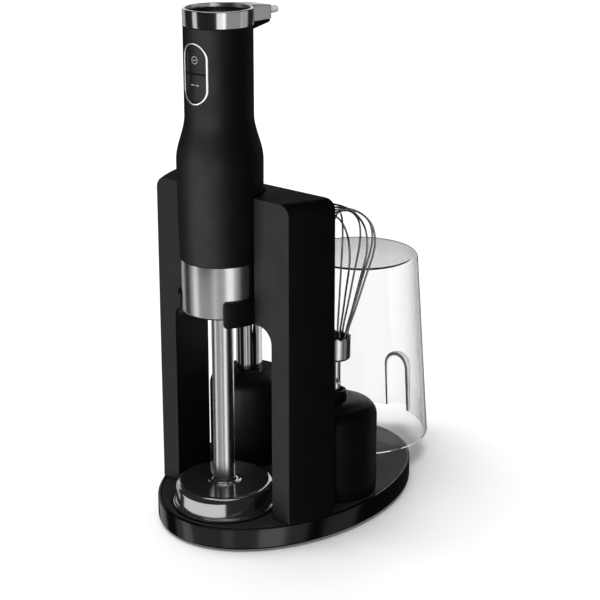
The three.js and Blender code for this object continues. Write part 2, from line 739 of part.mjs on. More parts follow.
const dialR = dialBore - RUN;
const dialTop = RING_TOP - DIAL_RECESS;
const dialUnder = dialTop - DIAL_H;
const dialOutline = [];
for (let i = 0; i < DIAL_RIDGES; i++) {
  for (const [share, depth] of [[0, 0], [0.45, 0], [0.55, DIAL_RIDGE], [0.9, DIAL_RIDGE]]) {
    const angle = ((i + share) * 2 * Math.PI) / DIAL_RIDGES;
    dialOutline.push([(dialR - depth) * Math.cos(angle), (dialR - depth) * Math.sin(angle)]);
  }
}
const potTop = RING_FOOT - GAP;
const dialStemFoot = potTop - POT_H / 2;
const dialDish = turned([
  [0, dialTop - DIAL_DISH],
  [dialR - 3 * DIAL_RIDGE - DIAL_DISH, dialTop - DIAL_DISH],
  [dialR - 3 * DIAL_RIDGE, dialTop + GAP],
  [0, dialTop + GAP],
]);
const dialStem = rod(DIAL_STEM_R, dialStemFoot, dialUnder + GAP);
const dialPlate = plate(polygon(dialOutline), dialUnder, dialTop);
add("speed_dial", joined(cut(dialPlate, dialDish), dialStem), glossBlack, 0, MIXER_Y);
add("dial_potentiometer", turned([
  [0, potTop - POT_H],
  [POT_R, potTop - POT_H],
  [POT_R, potTop],
  [DIAL_STEM_R + RUN, potTop],
  [DIAL_STEM_R + RUN, dialStemFoot - GAP],
  [0, dialStemFoot - GAP],
], SMALL), mattBlack, 0, MIXER_Y);

// The black wedge under the spur, and the grey gland at its end.
const wedgeTop = RING_FOOT - GAP;
const wedgeEnd = SPUR_END - WEDGE_INSET;
const wedgeSection = polygon([
  [0, wedgeTop - WEDGE_LOW - GAP],
  [NECK_R, wedgeTop - WEDGE_LOW],
  [wedgeEnd, wedgeTop - WEDGE_HIGH],
  [wedgeEnd, wedgeTop],
  [0, wedgeTop],
]);
const wedgeHalf = SPUR_HALF - WEDGE_INSET;
const wedgeBlank = plate(wedgeSection, -wedgeHalf, wedgeHalf)
  .rotateX(Math.PI / 2)
  .rotateZ(Math.PI / 2);
const neckCut = rod(NECK_R + GAP, NECK_TOP - 2 * WEDGE_LOW, NECK_TOP + THROUGH, ROUND);
add("spur_underside", cut(wedgeBlank, neckCut), mattBlack, 0, MIXER_Y);

const glandTip = GLAND_R * 0.4;
const gland = turned([
  [0, 0],
  [GLAND_R, 0],
  [GLAND_R, GLAND_L - glandTip],
  [GLAND_R - glandTip, GLAND_L],
  [0, GLAND_L],
], SMALL);
const glandZ = RING_FOOT + RING_H * 0.35;
gland.rotateX(-Math.PI / 2).translate(0, SPUR_END + GAP, glandZ);
add("cord_gland", gland, greyPlastic, 0, MIXER_Y);

// ---------------------------------------------------------------- motor
const frameFoot = BODY_FOOT + BODY_WALL + GAP;
const frameR = BODY_FOOT_R - BODY_WALL - RUN;
const frameBore = frameR - FRAME_WALL;
const frameTop = frameFoot + FRAME_H;
const bearingHole = BEARING_R + GAP;
const bridge = block(
  [-frameR + FRAME_WALL / 2, -BRIDGE_HALF, frameTop - GAP],
  [frameR - FRAME_WALL / 2, BRIDGE_HALF, frameTop + BRIDGE_H],
);
const bridgeBoss = rod(BEARING_R + 2 * FRAME_WALL, frameTop - GAP, frameTop + BRIDGE_H);
const frameCup = turned([
  [bearingHole, frameFoot],
  [frameR, frameFoot],
  [frameR, frameTop],
  [frameBore, frameTop],
  [frameBore, frameFoot + FRAME_FLOOR],
  [bearingHole, frameFoot + FRAME_FLOOR],
]);
const bridgeHole = rod(bearingHole, frameTop - THROUGH, frameTop + BRIDGE_H + THROUGH);
const motorFrame = cut(joined(frameCup, bridge, bridgeBoss), bridgeHole);
add("motor_frame", motorFrame, greyPlastic, 0, MIXER_Y);

const fanFoot = frameFoot + FRAME_FLOOR + FAN_UNDER;
const stackFoot = fanFoot + FAN_H + FAN_OVER;
const stackTop = stackFoot + STATOR_H;
const stator = tube(frameBore - GAP, STATOR_BORE, stackFoot, stackTop, ROUND);
add("motor_stator", stator, laminate, 0, MIXER_Y);
function bearing(low, high) {
  return tube(BEARING_R, shaftBore, low, high);
}
const upperFoot = frameTop + (BRIDGE_H - BEARING_H) / 2;
add("lower_bearing", bearing(frameFoot, frameFoot + BEARING_H - 1), brushedSteel, 0, MIXER_Y);
add("upper_bearing", bearing(upperFoot, upperFoot + BEARING_H), brushedSteel, 0, MIXER_Y);

const armatureR = STATOR_BORE - RUN;
const slotR = armatureR - SLOT_DEPTH;
const armatureTooth = [
  [0, armatureR],
  [0.4, armatureR],
  [0.8, armatureR],
  [0.82, slotR],
  [0.98, slotR],
];
const armatureOutline = [];
for (let i = 0; i < ARMATURE_SLOTS; i++) {
  for (const [share, radius] of armatureTooth) {
    const angle = ((i + share) * 2 * Math.PI) / ARMATURE_SLOTS;
    armatureOutline.push([radius * Math.cos(angle), radius * Math.sin(angle)]);
  }
}
const armatureStack = plate(polygon(armatureOutline), stackFoot - 1, stackTop + 1);
const commutator = rod(COMMUTATOR_R, stackTop, stackTop + COMMUTATOR_H);
const armatureBore = rod(shaftBore, stackFoot - THROUGH, stackTop + COMMUTATOR_H + THROUGH);
add("armature", cut(joined(armatureStack, commutator), armatureBore), copper, 0, MIXER_Y);

const fanHub = rod(COMMUTATOR_R, fanFoot, fanFoot + FAN_H);
const fanDisc = rod(FAN_R, fanFoot, fanFoot + FAN_DISC_T, ROUND);
const fanVanes = [];
for (let i = 0; i < FAN_BLADES; i++) {
  const vane = block(
    [COMMUTATOR_R - 1, -FAN_VANE_T / 2, fanFoot + FAN_DISC_T / 2],
    [FAN_R - 1, FAN_VANE_T / 2, fanFoot + FAN_H],
  );
  fanVanes.push(vane.rotateZ((i * 2 * Math.PI) / FAN_BLADES));
}
const fanBore = rod(shaftBore, fanFoot - THROUGH, fanFoot + FAN_H + THROUGH);
add("cooling_fan", cut(joined(fanHub, fanDisc, ...fanVanes), fanBore), nylon, 0, MIXER_Y);

const hexFoot = couplerFoot + COUPLER_FLOOR + GAP;
const hexTop = hexFoot + HEX_L;
const shaftFoot = hexFoot + HEX_L / 2;
const hexBore = rod(shaftBore, shaftFoot - GAP, hexTop + THROUGH);
add("drive_coupler", cut(plate(regular(6, HEX_R), hexFoot, hexTop), hexBore), brushedSteel, 0, MIXER_Y);
const shaftTop = frameTop + BRIDGE_H + SHAFT_PAST_BRIDGE;
add("motor_shaft", rod(SHAFT_R, shaftFoot, shaftTop), brushedSteel, 0, MIXER_Y);

// ---------------------------------------------------------------- gearboxes of the whisk and the masher
// A toothed wheel whose first tooth, or first gap, points along +X.
function toothed(teeth, low, high, gapFirst = false) {
  const pitchR = (teeth * MODULE) / 2;
  const quarter = (Math.PI * MODULE) / 4 - MESH_PLAY / 2;
  const rootR = pitchR - TOOTH_DOWN * MODULE;
  const tipR = pitchR + TOOTH_UP * MODULE;
  const points = [];
  for (let i = 0; i < teeth; i++) {
    const middle = ((i + (gapFirst ? 0.5 : 0)) * 2 * Math.PI) / teeth;
    for (const [radius, half] of [[rootR, -1.3], [tipR, -0.6], [tipR, 0.6], [rootR, 1.3]]) {
      const angle = middle + (half * quarter) / pitchR;
      points.push([radius * Math.cos(angle), radius * Math.sin(angle)]);
    }
  }
  return plate(polygon(points), low, high);
}

const layX = ((PINION_TEETH + WHEEL_TEETH) * MODULE) / 2 + MESH_PLAY;
const coverTop = ON_DECK + COVER_T;
const shellFoot = coverTop + GAP;
const shellTop = ON_DECK + GEARBOX_H;
const inputFoot = ON_DECK + INPUT_Z;
const pinionFoot = inputFoot + INPUT_H;
const stageFoot = pinionFoot + 2;
const outputFoot = stageFoot + STAGE_STEP;
const layTop = outputFoot + STAGE_H + 2;
const sleeveFoot = ON_DECK + SLEEVE_FOOT;

function gearboxShell(boreTop, hubR, hubTop) {
  const roundR = GEARBOX_R - GEARBOX_ROUND;
  const roundZ = shellTop - GEARBOX_DOME - GEARBOX_ROUND;
  const inner = GEARBOX_R - GEARBOX_WALL;
  return turned([
    [GEARBOX_R, shellFoot],
    ...arc(roundR, roundZ, GEARBOX_ROUND, 0, Math.PI / 2.4, 4),
    [hubR + 2 * GEARBOX_WALL, shellTop],
    [hubR, hubTop - 1],
    [hubR - 1, hubTop],
    [boreTop, hubTop],
    [boreTop, hubTop - SOCKET_H],
    [SLEEVE_BORE, hubTop - SOCKET_H],
    [SLEEVE_BORE, sleeveFoot],
    [SLEEVE_R, sleeveFoot],
    [SLEEVE_R, shellTop - GEARBOX_DOME - 2 * GEARBOX_WALL],
    [roundR, shellTop - GEARBOX_DOME - 2 * GEARBOX_WALL],
    [inner, roundZ],
    [inner, shellFoot],
  ]);
}

function gearboxCover() {
  const sleeve = COUPLER_R + RUN;
  const cover = turned([
    [POST_R + 2 * RUN, ON_DECK],
    [GEARBOX_R - 1, ON_DECK],
    [GEARBOX_R, ON_DECK + 1],
    [GEARBOX_R, coverTop],
    [sleeve + GEARBOX_WALL, coverTop],
    [sleeve + GEARBOX_WALL, inputFoot + COUPLER_H / 2],
    [sleeve, inputFoot + COUPLER_H / 2],
    [sleeve, coverTop - 1],
    [POST_R + 2 * RUN, coverTop - 1],
  ]);
  const pin = rod(LAY_PIN_R, coverTop - 1, layTop + 1).translate(layX, 0, 0);
  return joined(cover, pin);
}

function inputGear() {
  const hub = rod(COUPLER_R, inputFoot, pinionFoot);
  const teeth = toothed(PINION_TEETH, pinionFoot - GAP, pinionFoot + PINION_H);
  const pocket = plate(regular(6, HEX_R + HEX_CLEARANCE), inputFoot - THROUGH, pinionFoot - 3);
  return cut(joined(hub, teeth), pocket);
}

function layGear() {
  const wheel = toothed(WHEEL_TEETH, stageFoot, stageFoot + STAGE_H, WHEEL_TEETH % 2 === 0);
  const pinion = toothed(PINION_TEETH, stageFoot + STAGE_H - GAP, layTop, PINION_TEETH % 2 === 0);
  const bore = rod(LAY_PIN_R + RUN, stageFoot - THROUGH, layTop + THROUGH);
  return cut(joined(wheel, pinion), bore).translate(layX, 0, 0);
}

function outputWheel() {
  return toothed(WHEEL_TEETH, outputFoot, outputFoot + STAGE_H);
}

function gearbox(name, x, y, boreTop, hubR, hubTop) {
  add(name + "_gearbox_shell", gearboxShell(boreTop, hubR, hubTop), mattBlack, x, y);
  add(name + "_gearbox_cover", gearboxCover(), mattBlack, x, y);
  add(name + "_input_gear", inputGear(), nylon, x, y);
  add(name + "_lay_gear", layGear(), nylon, x, y);
}

// ---------------------------------------------------------------- whisk
const socketTop = shellTop + SOCKET_H;
gearbox("whisk", UNIT_X, WHISK_Y, SOCKET_TOP_R + RUN, SOCKET_TOP_R + GEARBOX_WALL, socketTop);
const hollowShaft = turned([
  [0, outputFoot + STAGE_H - GAP],
  [SLEEVE_BORE - RUN, outputFoot + STAGE_H - GAP],
  [SLEEVE_BORE - RUN, socketTop - SOCKET_H - GAP],
  [WHISK_SHAFT_R + GAP, socketTop - SOCKET_H - GAP],
  [WHISK_SHAFT_R + GAP, socketTop - SOCKET_H - WHISK_SHAFT_IN],
  [0, socketTop - SOCKET_H - WHISK_SHAFT_IN],
], SMALL);
add("whisk_output_gear", joined(outputWheel(), hollowShaft), nylon, UNIT_X, WHISK_Y);

const whiskShaftTop = ON_DECK + WHISK_SHAFT_TOP;
const whiskShaftFoot = socketTop - SOCKET_H - WHISK_SHAFT_IN + GAP;
const crossPin = rodAlongY(CROSS_PIN_R, -CROSS_PIN_HALF, CROSS_PIN_HALF, socketTop + CROSS_PIN_UP);
const whiskRod = rod(WHISK_SHAFT_R, whiskShaftFoot, whiskShaftTop);
const whiskShaft = joined(whiskRod, crossPin.rotateZ(Math.PI / 3));
add("whisk_shaft", whiskShaft, polishedSteel, UNIT_X, WHISK_Y);

const ferruleFoot = whiskShaftTop + GAP;
const ferruleBore = FERRULE_R - FERRULE_WALL;
add("whisk_ferrule", turned([
  [0, ferruleFoot],
  [FERRULE_R - 1, ferruleFoot],
  [FERRULE_R, ferruleFoot + 1],
  [FERRULE_R, ferruleFoot + FERRULE_H],
  [ferruleBore, ferruleFoot + FERRULE_H],
  [ferruleBore, ferruleFoot + FERRULE_FLOOR],
  [0, ferruleFoot + FERRULE_FLOOR],
], SMALL), polishedSteel, UNIT_X, WHISK_Y);

// Half of a loop: shares of the cage's radius and of its height, from the ferrule to the crown.
const HALF_LOOP = [
  [0.305, 0.1],
  [0.54, 0.31],
  [0.77, 0.52],
  [0.95, 0.68],
  [1, 0.78],
  [0.9, 0.895],
  [0.56, 0.975],
];
function wireCurve(loop) {
  const foot = ferruleFoot + FERRULE_FLOOR + GAP;
  const crown = foot + CAGE_H - loop * WIRE_STEP;
  const side = [[CAGE_FOOT_R, foot]];
  for (const [radius, height] of HALF_LOOP) {
    side.push([radius * CAGE_R - loop * GAP, foot + height * (crown - foot)]);
  }
  const points = side.map(([r, z]) => new THREE.Vector3(r, 0, z));
  points.push(new THREE.Vector3(0, 0, crown));
  for (const [r, z] of side.reverse()) points.push(new THREE.Vector3(-r, 0, z));
  return new THREE.CatmullRomCurve3(points, false, "centripetal");
}
for (let loop = 0; loop < WIRE_LOOPS; loop++) {
  const wire = bar(wireCurve(loop), WIRE_R, 4, 26);
  wire.rotateZ((loop * Math.PI) / WIRE_LOOPS);
  add("whisk_wire_" + (loop + 1), wire, polishedSteel, UNIT_X, WHISK_Y);
}

// ---------------------------------------------------------------- masher
const masherHub = MASHER_TUBE_R;
const masherHubTop = shellTop + GAP;
gearbox("masher", -UNIT_X, MASHER_Y, SLEEVE_BORE, masherHub, masherHubTop);
const masherFoot = masherHubTop + GAP;
const masherTop = masherFoot + MASHER_TUBE_L;
const masherBore = MASHER_TUBE_R - MASHER_TUBE_WALL;
add("masher_tube", tube(MASHER_TUBE_R, masherBore, masherFoot, masherTop), chrome, -UNIT_X, MASHER_Y);

// Cone and rim that carry a slotted disc.
const headFoot = masherTop + GAP;
const rimFoot = headFoot + MASHER_CONE_H;
const headTop = headFoot + MASHER_HEAD_H;
const headBore = SHAFT_R + RUN;
const gridFoot = rimFoot + MASHER_WALL;
const headForm = turned([
  [headBore, headFoot],
  [MASHER_TUBE_R, headFoot],
  [MASHER_HEAD_R, rimFoot],
  [MASHER_HEAD_R, headTop],
  [MASHER_HEAD_R - MASHER_WALL, headTop],
  [MASHER_HEAD_R - MASHER_WALL, gridFoot],
  [headBore, gridFoot],
]);
const headSlots = [];
for (let i = 0; i < MASHER_SLOTS; i++) {
  const from = MASHER_TUBE_R + MASHER_WALL;
  const to = MASHER_HEAD_R - 2 * MASHER_WALL;
  const slotShape = polygon([
    [from, -SLOT_IN],
    [to, -SLOT_OUT],
    [to, SLOT_OUT],
    [from, SLOT_IN],
  ]);
  const opening = plate(slotShape, headFoot - THROUGH, headTop + THROUGH);
  headSlots.push(opening.rotateZ((i * 2 * Math.PI) / MASHER_SLOTS));
}
add("masher_head", cut(headForm, ...headSlots), mattBlack, -UNIT_X, MASHER_Y);

const paddleFoot = gridFoot + RUN;
const paddleTop = paddleFoot + PADDLE_T;
const paddleR = MASHER_HEAD_R - MASHER_WALL - PADDLE_INSET;
const paddleBar = block([-paddleR, -PADDLE_HALF, paddleFoot], [paddleR, PADDLE_HALF, paddleTop]);
const paddleHub = rod(2 * PADDLE_HALF, paddleFoot, paddleTop + PADDLE_T);
const paddleBore = rod(shaftBore, paddleFoot - THROUGH, paddleTop + THROUGH);
add("masher_paddle", cut(joined(paddleBar, paddleHub), paddleBore), nylon, -UNIT_X, MASHER_Y);
const masherShaft = rod(SHAFT_R, outputFoot + STAGE_H - GAP, paddleTop + PADDLE_T / 2);
add("masher_output_gear", joined(outputWheel(), masherShaft), nylon, -UNIT_X, MASHER_Y);

// ---------------------------------------------------------------- beaker, stored with its rim down
const beakerTop = ON_DECK + BEAKER_H;
const beakerInnerTop = beakerTop - BEAKER_WALL;
const endRound = Math.max(BEAKER_ROUND - BEAKER_WALL, GAP);
const spoutArch = ON_DECK + SPOUT_H - SPOUT_R;
function beakerForm(shrink, low, top, round) {
  const end = BEAKER_END_R - shrink;
  return turned([
    [0, low],
    [BEAKER_RIM_R - shrink, low],
    ...arc(end - round, top - round, round, 0, Math.PI / 2, 4),
    [0, top],
  ], ROUND);
}
function spoutForm(shrink, low) {
  const radius = SPOUT_R - shrink;
  const spoutY = BEAKER_RIM_R - SPOUT_INSET;
  const form = turned([
    [0, low],
    [radius, low],
    ...arc(0, spoutArch, radius, 0, Math.PI / 2, 6),
  ], SMALL);
  return form.translate(0, spoutY, 0);
}
const beakerOuter = joined(beakerForm(0, ON_DECK, beakerTop, BEAKER_ROUND), spoutForm(0, ON_DECK));
const inFoot = ON_DECK - THROUGH;
const beakerInner = joined(
  beakerForm(BEAKER_WALL, inFoot, beakerInnerTop, endRound),
  spoutForm(BEAKER_WALL, inFoot),
);
add("beaker", cut(beakerOuter, beakerInner), clear, BEAKER_X, BEAKER_Y);

export default group;
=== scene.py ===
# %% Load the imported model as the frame
import math

import bmesh
import bpy
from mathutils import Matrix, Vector


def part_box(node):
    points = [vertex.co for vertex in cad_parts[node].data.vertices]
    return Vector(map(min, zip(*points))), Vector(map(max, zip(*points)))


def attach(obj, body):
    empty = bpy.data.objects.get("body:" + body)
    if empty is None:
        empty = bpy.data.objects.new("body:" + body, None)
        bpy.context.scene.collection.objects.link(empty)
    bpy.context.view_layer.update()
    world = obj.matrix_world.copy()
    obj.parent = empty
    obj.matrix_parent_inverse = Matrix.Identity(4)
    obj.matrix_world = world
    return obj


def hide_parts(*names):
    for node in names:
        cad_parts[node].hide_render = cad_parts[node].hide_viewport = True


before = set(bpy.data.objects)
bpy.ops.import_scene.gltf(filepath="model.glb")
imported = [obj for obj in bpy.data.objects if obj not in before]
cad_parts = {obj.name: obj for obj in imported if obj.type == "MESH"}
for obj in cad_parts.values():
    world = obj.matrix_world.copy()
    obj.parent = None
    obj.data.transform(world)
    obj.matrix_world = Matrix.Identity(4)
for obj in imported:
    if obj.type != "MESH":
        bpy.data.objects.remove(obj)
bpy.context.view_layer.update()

# %% [markdown]
# # A stick mixer in its tower stand
# The object is a stick mixer that hangs in a matt black tower. An oval base carries the tower, a whisk and
# a masher on their gearboxes, and a clear beaker stored with its rim down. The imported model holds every
# solid at its real size. This lesson gives the pieces that show a smooth surface and a real finish.

# %% [markdown]
# ## Millimetres and places
# People who make such things think in millimetres, and Blender works in metres. Every shape below is drawn
# in millimetres and scaled once, when its mesh is made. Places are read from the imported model, so that
# a smooth piece lies exactly where its plain solid does.

# %% Read a node's place in millimetres
MM = 0.001


def span(node):
    """Lowest and highest corner of a CAD node, in millimetres."""
    low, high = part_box(node)
    return [v / MM for v in low], [v / MM for v in high]


def axis(node):
    """Middle of a CAD node seen from above."""
    low, high = span(node)
    return (low[0] + high[0]) / 2, (low[1] + high[1]) / 2


def reach(node):
    """Radius of a round CAD node."""
    low, high = span(node)
    return (high[0] - low[0]) / 2


MIXER = axis("leg_collar")
print("the mixer's axis is at", [round(v, 1) for v in MIXER], "mm")

# %% [markdown]
# ## Camera
# The view is from the front right and a little above, about 1.3 m away, through a 95 mm lens: far enough
# for the uprights to stay nearly parallel, as in a catalogue picture. The small shift keeps the mixer's
# tall body in the frame without tilting the camera further.

# %% Make the camera
CAMERA_AT = Vector((800.4, -908.5, 580.1)) * MM
CAMERA_TURN = math.radians(40.874)
CAMERA_DIP = math.radians(16.649)
camera_data = bpy.data.cameras.new("Camera")
camera_data.lens = 95.39
camera_data.shift_y = -0.1
camera = bpy.data.objects.new("Camera", camera_data)
camera.location = CAMERA_AT
camera.rotation_euler = (math.pi / 2 - CAMERA_DIP, 0, CAMERA_TURN)
bpy.context.scene.collection.objects.link(camera)
bpy.context.scene.camera = camera
bpy.context.scene.view_settings.view_transform = "Standard"
print("camera", round(CAMERA_AT.length, 3), "m from the middle of the base")

# %% [markdown]
# ## Colours and nodes
# A colour is written as an sRGB hex value, the way a designer picks it, and Blender's shaders want linear
# light, so one function turns one into the other. A second function adds a node, its settings and its links
# in one call, which keeps every material below short enough to read.


# %% Turn a hex colour to linear light
def linear(hex_colour):
    """An sRGB hex value as a linear RGBA colour."""
    channels = [int(hex_colour[i:i + 2], 16) / 255 for i in (1, 3, 5)]
    light = [c / 12.92 if c <= 0.04045 else ((c + 0.055) / 1.055) ** 2.4 for c in channels]
    return (*light, 1.0)


# %% Add a node
def add_node(tree, kind, inputs=None, **settings):
    """One node: its settings, and for each input a value or the output that feeds it."""
    node = tree.nodes.new(kind)
    for name, value in settings.items():
        setattr(node, name, value)
    for socket, value in (inputs or {}).items():
        if isinstance(value, bpy.types.NodeSocket):
            tree.links.new(value, node.inputs[socket])
        else:
            node.inputs[socket].default_value = value
    return node


def empty_tree(owner):
    """The owner's node tree, cleared."""
    owner.use_nodes = True
    owner.node_tree.nodes.clear()
    return owner.node_tree


# %% [markdown]
# ## Moulded and painted surfaces
# A plastic part takes its look from the tool that moulded it. A spark-eroded tool leaves a fine grain, which
# breaks up the highlight, and a polished tool leaves a mirror. The grain is noise in real millimetres, turned
# into bumps, with a slower noise that shifts the roughness a little, as handling and cooling do.

# %% A surface with grain
CLOUD_SCALE = 60.0
SHINE_SPREAD = 0.1


def surface(name, colour, roughness, grain_mm, grain_height, stretch=(1, 1, 1), tint=None, **settings):
    """A Principled material whose grain has this size and height in millimetres."""
    material = bpy.data.materials.new(name)
    tree = empty_tree(material)
    place = add_node(tree, "ShaderNodeTexCoord")
    along = add_node(tree, "ShaderNodeMapping", {"Vector": place.outputs["Object"], "Scale": stretch})
    grain = add_node(tree, "ShaderNodeTexNoise",
                     {"Vector": along.outputs[0], "Scale": 1 / (grain_mm * MM), "Detail": 3.0})
    cloud = add_node(tree, "ShaderNodeTexNoise",
                     {"Vector": place.outputs["Object"], "Scale": CLOUD_SCALE})
    bump = add_node(tree, "ShaderNodeBump",
                    {"Height": grain.outputs["Fac"], "Distance": grain_height * MM, "Strength": 1.0})
    shine = add_node(tree, "ShaderNodeMapRange",
                     {"Value": cloud.outputs["Fac"], "From Min": 0.3, "From Max": 0.7,
                      "To Min": roughness * (1 - SHINE_SPREAD),
                      "To Max": roughness * (1 + SHINE_SPREAD)})
    shade = add_node(tree, "ShaderNodeMix",
                     {"Factor": grain.outputs["Fac"], 6: linear(colour), 7: linear(tint or colour)},
                     data_type="RGBA")
    shader = add_node(tree, "ShaderNodeBsdfPrincipled",
                      {"Base Color": shade.outputs[2], "Roughness": shine.outputs[0],
                       "Normal": bump.outputs[0], **settings})
    add_node(tree, "ShaderNodeOutputMaterial", {"Surface": shader.outputs[0]})
    return material


# Soft-touch lacquer: a rubbery matt coat sprayed over the casing. It spreads the light into one broad sheen.
soft_touch = surface("soft_touch_lacquer", "#18181a", 0.52, 0.5, 0.012, tint="#1e1e20", IOR=1.5)
# Moulded ABS from a spark-eroded tool: matt, with a grain that dulls the highlight without hiding it.
matt_abs = surface("moulded_matt_abs", "#131314", 0.46, 0.6, 0.016, tint="#19191a", IOR=1.5)
# The deck's ABS has a coarser texture, which makes it look a shade lighter than the tower.
deck_abs = surface("textured_deck_abs", "#2a2a2b", 0.55, 0.9, 0.02, tint="#303032", IOR=1.5)
# ABS from a polished tool: a soft black mirror, and large slow waves betray that it is plastic.
gloss_abs = surface("polished_gloss_abs", "#050506", 0.15, 9.0, 0.01, tint="#070708", IOR=1.53)
# Rubber of the foot pad, the seat and the shaft seal: dull, with a coarse skin.
rubber = surface("moulded_rubber", "#131314", 0.8, 0.8, 0.03, tint="#1c1c1d", IOR=1.52)
# Grey nylon of the cord gland and the motor frame: an even light grey with a soft sheen.
grey_nylon = surface("grey_nylon", "#a2a3a5", 0.42, 0.7, 0.02, tint="#acadaf", IOR=1.53)
# Natural nylon of gears and couplers: milky, and slightly waxy.
white_nylon = surface("natural_nylon", "#d9d5c8", 0.4, 0.8, 0.01, tint="#e6e3d9", IOR=1.53)
print("plastics:", [m.name for m in bpy.data.materials])

# %% [markdown]
# ## Metals
# Chrome plating copies the polish of the plastic or steel beneath it, so it is a mirror with hardly any
# grain. Turned and polished tube keeps faint rings round its axis: noise squeezed along Z. A metal has no
# diffuse colour, and its tint is its reflection.

# %% Metals
# The bell is pressed steel, polished, and the fine scratches of the polishing scatter a little light.
bell_steel = surface("pressed_polished_steel", "#d6d7d9", 0.13, 14.0, 0.002, tint="#dcdddf", Metallic=0.9)
# Satin chrome on the key panel's bezel: plated over a dull surface, so it holds one even bright line.
satin_chrome = surface("satin_chrome_plate", "#dfe0e2", 0.32, 2.0, 0.004, tint="#e6e7e9", Metallic=1.0)
# Bright chrome plating on the masher's tube: it copies the polish beneath it and is nearly a mirror.
chrome = surface("bright_chrome_plate", "#d6d7d9", 0.045, 14.0, 0.004, tint="#dcdddf", Metallic=1.0)
# Polished stainless tube and collar: the polishing belt leaves faint rings about 1 mm apart.
polished_steel = surface("polished_stainless", "#c9cacc", 0.25, 4.0, 0.001, stretch=(0.3, 0.3, 4.0),
                         tint="#d3d4d6", Metallic=1.0)
# Drawn stainless wire and turned shafts: a darker, greyer steel.
drawn_steel = surface("drawn_stainless", "#a3a5a7", 0.24, 2.0, 0.004, stretch=(1, 1, 0.2),
                      tint="#a0a2a4", Metallic=1.0)
# Copper windings: lacquered wire laid in turns, which shows as fine ridges.
copper = surface("enamelled_copper_wire", "#a4552a", 0.35, 0.8, 0.12, stretch=(0.4, 0.4, 3.0),
                 tint="#c2743f", Metallic=0.9)
print("metals:", [m.name for m in bpy.data.materials][-4:])

# %% [markdown]
# ## Printed marks, circuit board and clear plastic
# The marks on the keys are pad-printed in light grey ink. The board is green solder mask over glass fibre.
# The beaker is clear moulded SAN: it bends light, and a slight grey tint inside the plastic grows with the
# thickness that light passes. Its colour is also painted near black where the wall is seen edge-on: painted
# shade on its edges.

# %% Ink, board and clear plastic
WAVE_SCALE = 22.0
WAVE_HEIGHT = 0.02
# How sharply the painted dark edges of the clear plastic gather at its outline.
EDGE_SHADE_POWER = 2.5
SAN_IOR = 1.49
SAN_DENSITY = 28.0
marking_ink = surface("pad_printing_ink", "#ececed", 0.5, 0.5, 0.01, tint="#f4f4f5", IOR=1.5)
board_green = surface("solder_mask_board", "#1c4a33", 0.4, 1.2, 0.02, tint="#235a3f", IOR=1.5)


def clear_plastic(name, density):
    """Clear plastic whose tint grows with the thickness that light passes, painted dark where its wall is seen
    edge-on.
    """
    material = bpy.data.materials.new(name)
    tree = empty_tree(material)
    place = add_node(tree, "ShaderNodeTexCoord")
    waves = add_node(tree, "ShaderNodeTexNoise",
                     {"Vector": place.outputs["Object"], "Scale": WAVE_SCALE})
    bump = add_node(tree, "ShaderNodeBump",
                    {"Height": waves.outputs["Fac"], "Distance": WAVE_HEIGHT * MM, "Strength": 1.0})
    graze = add_node(tree, "ShaderNodeLayerWeight", {"Blend": 0.5, "Normal": bump.outputs[0]})
    rim = add_node(tree, "ShaderNodeMath", {0: graze.outputs["Facing"], 1: EDGE_SHADE_POWER}, operation="POWER")
    # Painted shade: the colour turns near black where the wall is seen edge-on, which darkens the beaker's
    # outline.
    painted_edge_shade = add_node(tree, "ShaderNodeMix",
                          {"Factor": rim.outputs[0], 6: linear("#ffffff"), 7: linear("#0c0d0e")},
                          data_type="RGBA")
    glass = add_node(tree, "ShaderNodeBsdfPrincipled",
                     {"Base Color": painted_edge_shade.outputs[2], "Roughness": 0.0, "IOR": SAN_IOR,
                      "Transmission Weight": 1.0, "Normal": bump.outputs[0]})
    tint = add_node(tree, "ShaderNodeVolumeAbsorption", {"Color": linear("#9a9c9e"), "Density": density})
    add_node(tree, "ShaderNodeOutputMaterial", {"Surface": glass.outputs[0], "Volume": tint.outputs[0]})
    return material


clear_san = clear_plastic("clear_san", SAN_DENSITY)
print("clear plastic:", clear_san.name)

# %% [markdown]
# ## Making a mesh
# Almost every piece here is turned, moulded or drawn, so one section can be carried through space: round an
# axis, round an oval, or along a path. All of these are loops of points joined by four-sided faces, and one
# function skins them. Sharp corners are given real radii in the section itself, because a real edge always
# catches a thin line of light.


# %% Skin a row of loops
def skin(loops, closed=False):
    """Points and faces of a skin over loops of as many points each.

    Closed joins the last loop to the first."""
    count = len(loops[0])
    points = [p for loop in loops for p in loop]
    faces = []
    for i in range(len(loops) if closed else len(loops) - 1):
        a, b = i * count, (i + 1) % len(loops) * count
        for k in range(count):
            after = (k + 1) % count
            faces.append((a + k, a + after, b + after, b + k))
    if not closed:
        last = (len(loops) - 1) * count
        faces += [tuple(range(count)), tuple(range(last, last + count))]
    return points, faces


def smooth(mesh, sharp=32):
    """Faces outwards, shaded smooth, with a crease wherever they meet at more than this many degrees."""
    form = bmesh.new()
    form.from_mesh(mesh)
    bmesh.ops.recalc_face_normals(form, faces=form.faces)
    form.to_mesh(mesh)
    form.free()
    mesh.shade_smooth()
    mesh.set_sharp_from_angle(angle=math.radians(sharp))


def blank(points, faces, name="blank"):
    """An object from points in millimetres."""
    mesh = bpy.data.meshes.new(name)
    mesh.from_pydata([Vector(p) * MM for p in points], [], faces)
    smooth(mesh)
    made = bpy.data.objects.new(name, mesh)
    bpy.context.scene.collection.objects.link(made)
    return made


def finish_piece(made, name, material, body, nodes=()):
    """Gives the piece its name, finish and body, and hides the CAD nodes that it stands for."""
    made.name = made.data.name = name
    made.data.materials.clear()
    made.data.materials.append(material)
    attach(made, body)
    if nodes:
        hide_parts(*nodes)
    print(name, "has", len(made.data.polygons), "faces")
    return made


# %% [markdown]
# ## Round corners and turned forms
# A section is a list of corners, each a radius from the axis and a height. A corner may carry a third number,
# its own edge radius, and it is then replaced by a short arc.


